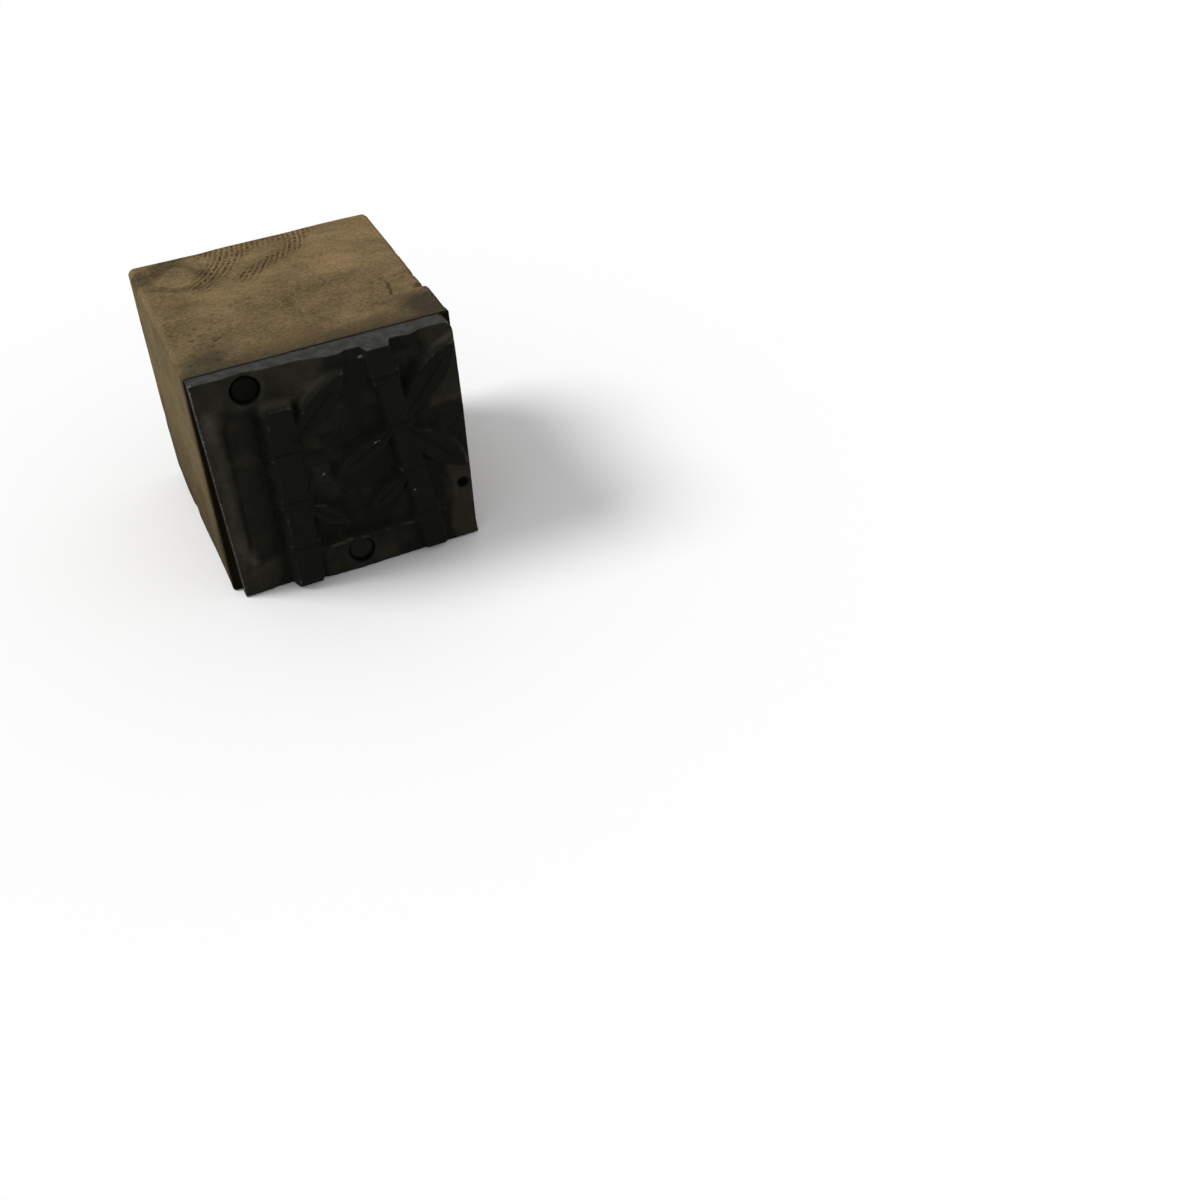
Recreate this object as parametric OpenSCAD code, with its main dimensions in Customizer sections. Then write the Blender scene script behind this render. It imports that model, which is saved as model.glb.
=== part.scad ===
// Letterpress printing block: a cast relief plate nailed to a type-high hardwood mount.
// The block stands on its side, as it is left on a table: the printing face looks towards -Y,
// the foot that sits on the bed of the press looks towards +Y, and Z points up.
// The origin is the centre of the side that the block stands on. All sizes are in millimetres.

/* [Block] */
// Type height: distance from the foot to the printing face
type_height = 23.45; // [22:0.05:26]
// Width of the wooden mount, across the printing face
mount_w = 22.3; // [21:0.1:30]
// Height of the wooden mount, as the block stands
mount_h = 21.5; // [20.5:0.1:30]

/* [Plate] */
// Thickness of the plate at its routed floor
plate_t = 1.3; // [1.2:0.05:2.2]
// Height of the printing face above the routed floor
relief_h = 1.55; // [1.3:0.05:1.8]
// Height above the routed floor of the ground that the router left between the raised parts
bench_h = 0.5; // [0.3:0.05:0.7]
// Bare wood left of the plate, at the top
inset_left_top = 0.15; // [0.1:0.05:0.8]
// Bare wood left of the plate, at the bottom
inset_left_bottom = 0.75; // [0.1:0.05:1]
// Bare wood right of the plate, at the top
inset_right_top = 0.5; // [0.1:0.05:0.7]
// Bare wood right of the plate, at the bottom
inset_right_bottom = 0.3; // [0.1:0.05:0.5]
// Height at which the plate's right edge bends in towards the top
right_bend_z = 13; // [8:0.5:18]
// How far the plate stays above the side that the block stands on
plate_lift = 0.1; // [0:0.05:0.4]
// Radius of the plate's top right corner
plate_corner_r = 0.8; // [0.4:0.1:1.2]

/* [Raised design] */
// Width that each raised part gains at each side, from its face down to the floor
shoulder = 0.5; // [0.3:0.05:0.6]
// Face width of the upright stalk
stalk_w = 2.1; // [1.6:0.1:2.4]
// Distance of the upright stalk from the left side of the mount
stalk_x = 6.4; // [5.8:0.1:7]
// How far the upright stalk stops below the top of the mount
stalk_stop = 3.2; // [2.8:0.1:5]
// Face width of the leaning stalk
cane_w = 1.8; // [1.4:0.1:2.2]
// Distance of the leaning stalk's foot from the right side of the mount
cane_foot_x = 4.3; // [4:0.1:5]
// Distance of the leaning stalk's head from the right side of the mount
cane_head_x = 7.2; // [6:0.1:8]
// Height of the lowest joint on a stalk
joint_first = 4.5; // [3.8:0.1:5]
// Distance between two joints on a stalk
joint_pitch = 4.8; // [4.4:0.1:5.4]
// Length of the swollen ring at a joint
ring_l = 1; // [0.8:0.1:1.2]
// How far the ring stands out at each side
ring_out = 0.2; // [0.1:0.02:0.3]
// Width of the groove cut across each joint
groove_w = 0.3; // [0.2:0.05:0.5]
// Depth of the grooves at the joints and along the leaves
groove_depth = 0.45; // [0.2:0.05:0.7]
// Width of the groove along the middle of a leaf
midrib_w = 0.24; // [0.15:0.01:0.35]
// Height of the thin ground line
ground_z = 3.8; // [3.7:0.1:4]
// Face width of the thin ground line
ground_w = 0.35; // [0.2:0.05:0.5]

/* [Routed hollow] */
// Width of the router's cut
router_d = 2.2; // [1.6:0.1:2.4]
// Depth of the router's cut below the floor
router_depth = 0.35; // [0.2:0.05:0.5]
// Distance of the cut's middle from the left side of the mount
router_x = 3.15; // [2.6:0.05:3.2]
// Height of the cut's lower end
router_low = 3.4; // [2:0.1:6]
// Height of the cut's upper end
router_high = 17.8; // [14:0.1:18]

/* [Nails] */
// Diameter of a nail's head
head_d = 2.2; // [1.8:0.05:2.3]
// Thickness of a nail's head
head_t = 0.5; // [0.3:0.05:0.6]
// Diameter of a nail's shank
shank_d = 1.1; // [0.8:0.05:1.4]
// Length of a nail below its head
nail_l = 9; // [6:0.5:14]
// Length of a nail's point
point_l = 1.4; // [0.8:0.1:2]
// Gap all round a nail's head in its recess
head_gap = 0.15; // [0.05:0.01:0.2]
// Gap all round a nail's shank
shank_gap = 0.02; // [0.01:0.005:0.05]
// Metal left in the plate under the top nail's head
top_seat_t = 0.6; // [0.4:0.05:0.8]
// Distance of the top nail from the left side of the mount
top_nail_x = 4.4; // [4.2:0.1:4.6]
// Distance of the top nail below the top of the mount
top_nail_z = 1.6; // [1.5:0.05:1.65]
// Metal left in the plate under the bottom nail's head
bottom_seat_t = 1.1; // [0.6:0.05:1.2]
// Distance of the bottom nail from the left side of the mount
bottom_nail_x = 11.35; // [10.6:0.05:12]
// Height of the bottom nail
bottom_nail_z = 1.75; // [1.55:0.05:1.8]
// Diameter of the headless pin near the right edge
pin_d = 0.75; // [0.6:0.05:0.85]
// Length of the headless pin
pin_l = 8; // [5:0.5:12]
// Depth of the headless pin's end below the ground round it
pin_sunk = 0.5; // [0.2:0.05:0.8]
// Distance of the headless pin from the right side of the mount
pin_x = 1.1; // [1.1:0.05:1.3]
// Height of the headless pin
pin_z = 5.6; // [4.5:0.1:7]

/* [Worn wood] */
// Rounding of the wood's long edges
edge_r = 0.4; // [0.2:0.05:0.6]
// Rounding of the foot's most worn edges
worn_r = 0.65; // [0.3:0.05:1]
// Rounding of the edges that the plate covers
fresh_r = 0.2; // [0.1:0.05:0.4]
// Width of the chip in the top right edge
chip_w = 2.4; // [1:0.1:4]
// How far the chip reaches in from the right
chip_in = 0.6; // [0.3:0.1:1.2]
// How far the chip reaches down from the top
chip_down = 1.4; // [0.6:0.1:3]
// Distance of the chip's deepest point behind the wood's front
chip_y = 4.2; // [3:0.1:8]
// Size of the bevel worn on the top right edge, behind the chip
bevel = 0.4; // [0.2:0.05:0.6]

/* [Hidden] */
$fn = 64;

eps = 0.01;
half_w = mount_w / 2;
foot_y = type_height / 2;
face_y = -type_height / 2;
floor_y = face_y + relief_h;
wood_y = floor_y + plate_t;
mount_d = foot_y - wood_y;
plate_top = mount_h;
pin_end_t = plate_t + bench_h - pin_sunk;
corner_steps = 5;

// Nails: place across and place up
top_nail_at = [top_nail_x - half_w, mount_h - top_nail_z];
bottom_nail_at = [bottom_nail_x - half_w, bottom_nail_z];
pin_at = [half_w - pin_x, pin_z];
recess_d = head_d + 2 * head_gap;

// Stalks: foot, head and face width
stalk = [[stalk_x - half_w, 0], [stalk_x - half_w, mount_h - stalk_stop], stalk_w];
cane = [[half_w - cane_foot_x, 0], [half_w - cane_head_x, mount_h], cane_w];

// Leaves: stalk, number of its joint, direction in degrees, length and greatest width
leaves = [
    [stalk, 2, 47, 7.2, 2.2],
    [stalk, 1, -42, 4.4, 1.5],
    [cane, 2, 210, 6.2, 2],
    [cane, 1, 214, 4.4, 1.5],
    [cane, 2, 50, 7.4, 2.5],
    [cane, 2, -48, 7.2, 2.3]
];

// The run of a stalk, its length and its direction
function run(s) = s[1] - s[0];
function direction(s) = atan2(run(s)[1], run(s)[0]);
function joint_at(k) = joint_first + k * joint_pitch;
function along(s, d) = s[0] + run(s) * d / norm(run(s));

// Points of a quarter circle in the corner of a rectangle
function corner(x, y, r, from) = [for (k = [0:corner_steps])
    [x + r * cos(from + 90 * k / corner_steps), y + r * sin(from + 90 * k / corner_steps)]];

// Rectangle from low to high corner, with its own radius at each corner:
// high-high, low-high, low-low, high-low
module worn_rect(low, high, r) {
    polygon(concat(
        corner(high[0] - r[0], high[1] - r[0], r[0], 0),
        corner(low[0] + r[1], high[1] - r[1], r[1], 90),
        corner(low[0] + r[2], low[1] + r[2], r[2], 180),
        corner(high[0] - r[3], low[1] + r[3], r[3], 270)
    ));
}

// Puts what is drawn in x and y onto a plane that looks towards -Y, x across and y up
module facing(y) {
    translate([0, y, 0]) rotate([90, 0, 0]) children();
}

// The solid block, rounded in plan, from the front and from the side
module block() {
    intersection() {
        linear_extrude(mount_h)
            worn_rect([-half_w, wood_y], [half_w, foot_y], [worn_r, worn_r, fresh_r, edge_r]);
        facing(foot_y)
            linear_extrude(mount_d)
                worn_rect([-half_w, 0], [half_w, mount_h], [edge_r, edge_r, edge_r, edge_r]);
        translate([-half_w, 0, 0])
            rotate([90, 0, 90])
                linear_extrude(mount_w)
                    worn_rect([wood_y, 0], [foot_y, mount_h], [edge_r, fresh_r, fresh_r, worn_r]);
    }
}

// A chip knocked out of the top right edge
module chip() {
    translate([half_w, wood_y + chip_y, mount_h - chip_down])
        linear_extrude(chip_down + eps)
            polygon([[-chip_in, 0], [eps, -chip_w / 3], [eps, 2 * chip_w / 3]]);
}

// The bevel worn on the top right edge, from the chip back to the foot
module worn_bevel() {
    translate([0, wood_y + chip_y, 0])
        rotate([90, 0, 180])
            linear_extrude(mount_d)
                polygon([
                    [-half_w + bevel, mount_h + eps],
                    [-half_w - eps, mount_h + eps],
                    [-half_w - eps, mount_h - bevel]
                ]);
}

// A round hole from the wood's front, with a cone for the point
module nail_bore(at, d, depth) {
    facing(wood_y - eps)
        translate([at[0], at[1], -depth - eps]) {
            cylinder(d1 = 0.2, d2 = d + 2 * shank_gap, h = point_l);
            translate([0, 0, point_l]) cylinder(d = d + 2 * shank_gap, h = depth - point_l + 2 * eps);
        }
}

module wood_mount() {
    color([0.53, 0.44, 0.28])
        difference() {
            block();
            chip();
            worn_bevel();
            nail_bore(top_nail_at, shank_d, nail_l - top_seat_t);
            nail_bore(bottom_nail_at, shank_d, nail_l - bottom_seat_t);
            nail_bore(pin_at, pin_d, pin_l - pin_end_t);
        }
}

// Outline of the plate, slightly out of square, with one rounded corner
module plate_outline() {
    polygon(concat(
        [[inset_left_bottom - half_w, plate_lift]],
        [[half_w - inset_right_bottom, plate_lift]],
        [[half_w - inset_right_bottom, right_bend_z]],
        corner(half_w - inset_right_top - plate_corner_r, plate_top - plate_corner_r, plate_corner_r, 0),
        [[inset_left_top - half_w, plate_top]]
    ));
}

// A bar of a given length up and width across, whose four sides slope out to the floor
module raised_bar(l, w) {
    foot = w / 2 + shoulder;
    intersection() {
        rotate([90, 0, 0])
            translate([0, 0, -l - shoulder])
                linear_extrude(l + 2 * shoulder)
                    polygon([[-foot, -eps], [foot, -eps], [w / 2, relief_h], [-w / 2, relief_h]]);
        rotate([90, 0, 90])
            translate([0, 0, -foot])
                linear_extrude(2 * foot)
                    polygon([[-shoulder, -eps], [l + shoulder, -eps], [l, relief_h], [0, relief_h]]);
    }
}

// A leaf: two steep cones cut each other, so that its sides slope and its ends are sharp
module raised_leaf(l, w) {
    r = (l * l + w * w) / (4 * w);
    off = r - w / 2;
    translate([l / 2, 0, 0])
        difference() {
            intersection() {
                translate([0, off, 0]) cylinder(r1 = r + shoulder, r2 = r, h = relief_h, $fn = 96);
                translate([0, -off, 0]) cylinder(r1 = r + shoulder, r2 = r, h = relief_h, $fn = 96);
            }
            translate([-l / 2, -midrib_w / 2, relief_h - groove_depth])
                cube([0.8 * l, midrib_w, groove_depth + eps]);
        }
}

// A stalk: a long bar with a swollen ring and a groove at each joint
module raised_stalk(s) {
    length = norm(run(s));
    w = s[2];
    joints = [for (d = [joint_first : joint_pitch : length - 1]) d];
    translate(s[0])
        rotate(direction(s) - 90)
            difference() {
                union() {
                    raised_bar(length, w);
                    for (d = joints)
                        translate([0, d - ring_l / 2, 0]) raised_bar(ring_l, w + 2 * ring_out);
                }
                for (d = joints)
                    translate([-w, d - groove_w / 2, relief_h - groove_depth])
                        cube([2 * w, groove_w, groove_depth + eps]);
            }
}

// Both stalks, their leaves and the ground line, raised from the floor
module raised_design() {
    raised_stalk(stalk);
    raised_stalk([along(cane, -2), along(cane, norm(run(cane)) + 2), cane_w]);
    for (leaf = leaves)
        translate(along(leaf[0], joint_at(leaf[1])))
            rotate(leaf[2])
                translate([leaf[0][2] / 2, 0, 0])
                    raised_leaf(leaf[3], leaf[4]);
    translate([stalk[0][0], ground_z, 0])
        rotate(-90)
            raised_bar(cane[0][0] - stalk[0][0], ground_w);
}

// The ground that stands above the routed floor, right of the upright stalk
module bench() {
    x = stalk[0][0] + stalk_w / 2;
    linear_extrude(bench_h)
        polygon([
            [half_w, 0],
            [half_w, mount_h],
            [x + 2.6, mount_h],
            [x + 1.7, stalk[1][1] + 1.2],
            [x, stalk[1][1]],
            [x, 0]
        ]);
}

// A recess for a nail's head and the hole for its shank, in the plate's own plane
module nail_seat(at, seat_t) {
    translate([at[0], at[1], seat_t]) cylinder(d = recess_d, h = plate_t + relief_h);
    translate([at[0], at[1], -eps]) cylinder(d = shank_d + 2 * shank_gap, h = plate_t);
}

// The groove left by a router with a flat cutter
module routed_hollow() {
    x = router_x - half_w;
    low = router_low + router_d / 2;
    high = router_high - router_d / 2;
    translate([0, 0, plate_t - router_depth])
        linear_extrude(router_depth + relief_h + eps)
            union() {
                translate([x, low]) circle(d = router_d);
                translate([x, high]) circle(d = router_d);
                translate([x - router_d / 2, low]) square([router_d, high - low]);
            }
}

module relief_plate() {
    color([0.16, 0.16, 0.15])
        facing(wood_y)
            difference() {
                union() {
                    linear_extrude(plate_t) plate_outline();
                    intersection() {
                        linear_extrude(plate_t + relief_h) plate_outline();
                        translate([0, 0, plate_t]) {
                            bench();
                            raised_design();
                        }
                    }
                }
                nail_seat(top_nail_at, top_seat_t);
                nail_seat(bottom_nail_at, bottom_seat_t);
                translate([pin_at[0], pin_at[1], -eps])
                    cylinder(d = pin_d + 2 * shank_gap, h = plate_t + relief_h);
                routed_hollow();
            }
}

// A nail with its head's underside at zero, pointing away from the face
module nail() {
    rotate_extrude()
        polygon([
            [0, -nail_l],
            [shank_d / 2, point_l - nail_l],
            [shank_d / 2, 0],
            [head_d / 2, 0],
            [head_d / 2, head_t - 0.15],
            [head_d / 2 - 0.2, head_t],
            [0, head_t]
        ]);
}

module top_nail() {
    color([0.13, 0.12, 0.11])
        facing(wood_y - top_seat_t)
            translate([top_nail_at[0], top_nail_at[1], 0]) nail();
}

module bottom_nail() {
    color([0.15, 0.14, 0.13])
        facing(wood_y - bottom_seat_t)
            translate([bottom_nail_at[0], bottom_nail_at[1], 0]) nail();
}

module edge_pin() {
    color([0.12, 0.11, 0.1])
        facing(wood_y - pin_end_t)
            translate([pin_at[0], pin_at[1], 0])
                rotate_extrude()
                    polygon([[0, -pin_l], [pin_d / 2, point_l - pin_l], [pin_d / 2, 0], [0, 0]]);
}

wood_mount();
relief_plate();
top_nail();
bottom_nail();
edge_pin();
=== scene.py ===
import math

import bmesh
import bpy
import numpy as np
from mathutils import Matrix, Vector


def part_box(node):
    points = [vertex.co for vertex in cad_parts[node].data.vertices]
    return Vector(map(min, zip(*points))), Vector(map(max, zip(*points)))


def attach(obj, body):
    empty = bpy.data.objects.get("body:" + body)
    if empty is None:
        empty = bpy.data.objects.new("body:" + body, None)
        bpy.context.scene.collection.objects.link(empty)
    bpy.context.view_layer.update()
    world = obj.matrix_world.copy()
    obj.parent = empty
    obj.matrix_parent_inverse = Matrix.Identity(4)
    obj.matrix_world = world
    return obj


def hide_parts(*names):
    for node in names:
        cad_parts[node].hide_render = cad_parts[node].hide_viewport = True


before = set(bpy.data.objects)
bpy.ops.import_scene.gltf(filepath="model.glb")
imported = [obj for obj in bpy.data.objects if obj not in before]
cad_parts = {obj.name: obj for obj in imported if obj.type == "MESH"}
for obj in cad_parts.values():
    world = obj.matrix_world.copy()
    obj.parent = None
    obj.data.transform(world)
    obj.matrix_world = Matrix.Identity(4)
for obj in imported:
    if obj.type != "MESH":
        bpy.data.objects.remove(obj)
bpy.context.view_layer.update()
mm = 0.001  # every size below is in millimetres and is multiplied by this
print("frame loaded")

# The camera stands where the photograph was taken from
photoView = {
    "place": (-23.43, -116.52, 85.41),
    "turn": (49.516, 2.098, -25.283),  # degrees
    "lens": 46.43,
    "sensor": 36.0,
}

cameraData = bpy.data.cameras.new("photoCamera")
cameraData.sensor_width = photoView["sensor"]
cameraData.lens = photoView["lens"]
cameraData.clip_start = 0.005
cameraData.clip_end = 20.0
camera = bpy.data.objects.new("photoCamera", cameraData)
camera.location = Vector(photoView["place"]) * mm
camera.rotation_euler = [math.radians(angle) for angle in photoView["turn"]]
bpy.context.scene.collection.objects.link(camera)
bpy.context.scene.camera = camera
bpy.context.scene.view_settings.view_transform = "Standard"
print("camera placed")


# Node building: values may be plain numbers or the sockets that feed them
def node(tree, kind, values=None, **settings):
    made = tree.nodes.new(kind)
    for name, value in settings.items():
        setattr(made, name, value)
    for socket, value in (values or {}).items():
        if isinstance(value, bpy.types.NodeSocket):
            tree.links.new(value, made.inputs[socket])
        else:
            made.inputs[socket].default_value = value
    return made


def maths(tree, operation, first, second=0.0, clamp=False):
    made = node(tree, "ShaderNodeMath", {0: first, 1: second}, operation=operation, use_clamp=clamp)
    return made.outputs[0]


def times(tree, first, second):
    return maths(tree, "MULTIPLY", first, second)


def spread(tree, value, low, high, toLow=0.0, toHigh=1.0):
    values = {"Value": value, "From Min": low, "From Max": high, "To Min": toLow, "To Max": toHigh}
    return node(tree, "ShaderNodeMapRange", values, interpolation_type="SMOOTHSTEP").outputs["Result"]


def mixColour(tree, factor, first, second):
    return node(tree, "ShaderNodeMix", {0: factor, 6: first, 7: second}, data_type="RGBA").outputs[2]


def stretched(tree, vector, scale):
    values = {"Vector": vector, "Scale": scale}
    return node(tree, "ShaderNodeMapping", values).outputs["Vector"]


def noise(tree, vector, scale, detail=3.0, roughness=0.5, distortion=0.0):
    values = {
        "Vector": vector,
        "Scale": scale,
        "Detail": detail,
        "Roughness": roughness,
        "Distortion": distortion,
    }
    return node(tree, "ShaderNodeTexNoise", values).outputs["Fac"]


def colour(red, green, blue):
    parts = [value / 255 for value in (red, green, blue)]
    linear = [part / 12.92 if part <= 0.04045 else ((part + 0.055) / 1.055) ** 2.4 for part in parts]
    return (*linear, 1.0)


def newGroup(name, inputs, outputs):
    tree = bpy.data.node_groups.new(name, "ShaderNodeTree")
    for label, kind, value in inputs:
        socket = tree.interface.new_socket(name=label, in_out="INPUT", socket_type=kind)
        if value is not None:
            socket.default_value = value
    for label, kind in outputs:
        tree.interface.new_socket(name=label, in_out="OUTPUT", socket_type=kind)
    return tree, tree.nodes.new("NodeGroupInput").outputs, tree.nodes.new("NodeGroupOutput")


def placeGroup(tree, group, values):
    return node(tree, "ShaderNodeGroup", values, node_tree=group).outputs


# Breaks a smooth mask of worn edges into a ragged one
def makeEdgeWear():
    inputs = [
        ("Vector", "NodeSocketVector", None),
        ("Edges", "NodeSocketFloat", 0.0),
        ("Scale", "NodeSocketFloat", 2.0),
        ("Raggedness", "NodeSocketFloat", 0.6),
    ]
    tree, given, end = newGroup("edgeWear", inputs, [("Mask", "NodeSocketFloat")])
    broken = noise(tree, given["Vector"], given["Scale"], detail=4.0, roughness=0.65)
    swing = times(tree, maths(tree, "SUBTRACT", broken, 0.5), given["Raggedness"])
    total = maths(tree, "ADD", given["Edges"], times(tree, swing, 2.0))
    tree.links.new(spread(tree, total, 0.45, 0.75), end.inputs["Mask"])
    return tree


# Patches of dirt with soft borders and specks inside
def makeGrime():
    inputs = [
        ("Vector", "NodeSocketVector", None),
        ("Scale", "NodeSocketFloat", 0.3),
        ("Amount", "NodeSocketFloat", 0.5),
        ("Specks", "NodeSocketFloat", 0.3),
    ]
    tree, given, end = newGroup("grime", inputs, [("Mask", "NodeSocketFloat")])
    patches = noise(tree, given["Vector"], given["Scale"], detail=5.0, roughness=0.6, distortion=0.4)
    fine = noise(tree, given["Vector"], times(tree, given["Scale"], 14.0), detail=2.0)
    speckled = times(tree, maths(tree, "SUBTRACT", fine, 0.5), given["Specks"])
    level = maths(tree, "ADD", maths(tree, "ADD", patches, speckled), given["Amount"])
    tree.links.new(spread(tree, level, 0.85, 1.2), end.inputs["Mask"])
    return tree


# Hardwood whose fibres run along X: growth bands, fibres and pores that show as dashes or dots
def makeWoodFigure():
    inputs = [("Vector", "NodeSocketVector", None), ("Fineness", "NodeSocketFloat", 1.0)]
    outputs = [(label, "NodeSocketFloat") for label in ("Bands", "Fibres", "Pores", "Height")]
    tree, given, end = newGroup("woodFigure", inputs, outputs)
    wide = stretched(tree, given["Vector"], (0.2, 0.5, 0.5))
    bands = noise(tree, wide, given["Fineness"], detail=5.0, roughness=0.62, distortion=0.5)
    long = stretched(tree, given["Vector"], (1.5, 4.2, 4.2))
    fibres = noise(tree, long, given["Fineness"], detail=6.0, roughness=0.76)
    short = stretched(tree, given["Vector"], (2.2, 7.5, 7.5))
    dashes = noise(tree, short, given["Fineness"], detail=2.0)
    pores = spread(tree, dashes, 0.59, 0.7)
    height = maths(tree, "SUBTRACT", fibres, times(tree, pores, 0.6))
    for label, value in (("Bands", bands), ("Fibres", fibres), ("Pores", pores), ("Height", height)):
        tree.links.new(value, end.inputs[label])
    return tree


# The skin of cast metal: blotches, fine grain and hair scratches
def makeCastSkin():
    inputs = [("Vector", "NodeSocketVector", None), ("Scale", "NodeSocketFloat", 1.0)]
    outputs = [(label, "NodeSocketFloat") for label in ("Blotches", "Scratches", "Height")]
    tree, given, end = newGroup("castSkin", inputs, outputs)
    wide = times(tree, given["Scale"], 0.45)
    blotches = noise(tree, given["Vector"], wide, detail=5.0, roughness=0.6)
    narrow = times(tree, given["Scale"], 7.0)
    fine = noise(tree, given["Vector"], narrow, detail=3.0, roughness=0.6)
    turned = node(tree, "ShaderNodeMapping", {"Vector": given["Vector"], "Scale": (0.5, 1.0, 9.0)})
    turned.inputs["Rotation"].default_value = (0.0, math.radians(24), 0.0)
    hairs = noise(tree, turned.outputs["Vector"], given["Scale"], detail=2.0, roughness=0.5)
    scratches = spread(tree, hairs, 0.68, 0.76)
    height = maths(tree, "SUBTRACT", fine, times(tree, scratches, 0.35))
    for label, value in (("Blotches", blotches), ("Scratches", scratches), ("Height", height)):
        tree.links.new(value, end.inputs[label])
    return tree


edgeWear = makeEdgeWear()
grime = makeGrime()
woodFigure = makeWoodFigure()
castSkin = makeCastSkin()


def newMaterial(name, specular, roughness, metallic=0.0):
    material = bpy.data.materials.new(name)
    material.use_nodes = True
    tree = material.node_tree
    shader = tree.nodes["Principled BSDF"]
    shader.inputs["Specular IOR Level"].default_value = specular
    shader.inputs["Roughness"].default_value = roughness
    shader.inputs["Metallic"].default_value = metallic
    place = node(tree, "ShaderNodeTexCoord").outputs["Object"]
    inMillimetres = node(tree, "ShaderNodeVectorMath", {0: place, "Scale": 1 / mm}, operation="SCALE")
    return material, tree, shader, inMillimetres.outputs["Vector"]


def mask(tree, name):
    return node(tree, "ShaderNodeAttribute", attribute_name=name).outputs["Fac"]


def bump(tree, shader, height, depth, strength=1.0):
    values = {"Height": height, "Distance": depth * mm, "Strength": strength}
    tree.links.new(node(tree, "ShaderNodeBump", values).outputs["Normal"], shader.inputs["Normal"])


woodFinish = {
    "tan": colour(139, 117, 83),
    "pale": colour(160, 137, 101),
    "olive": colour(90, 79, 56),
    "endGrain": colour(130, 116, 87),
    "endGrainDark": colour(101, 89, 66),
    "red": colour(98, 68, 46),
    # dirt, and painted shade low on the left face
    "dirtAndShade": colour(58, 54, 44),
    "stain": colour(56, 52, 40),
    "pore": colour(50, 41, 28),
    # painted shade in the pits, the crack, the chip's crevice and the seam at the plate; also the colour of
    # a bruise
    "creviceShadeAndBruise": colour(26, 22, 16),
    "ridgePitch": 0.46,
    "ridgeCentre": (-12.9, 13.4, 0.0),  # the smudge's ridges are arcs round this place
    "ringPitch": 1.5,
    "ringCentre": (0.0, 21.0, -14.0),  # the middle of the tree, outside the block
}


def rings(tree, place, centre, pitch, direction, distortion):
    shift = tuple(-value for value in centre)
    moved = node(tree, "ShaderNodeMapping", {"Vector": place, "Location": shift}).outputs["Vector"]
    values = {
        "Vector": moved,
        "Scale": math.pi / 10 / pitch,  # at scale 1 the rings are that far apart
        "Distortion": distortion,
        "Detail": 2.0,
        "Detail Scale": 0.9,
    }
    made = node(tree, "ShaderNodeTexWave", values, wave_type="RINGS", rings_direction=direction)
    return made.outputs["Fac"]


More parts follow.
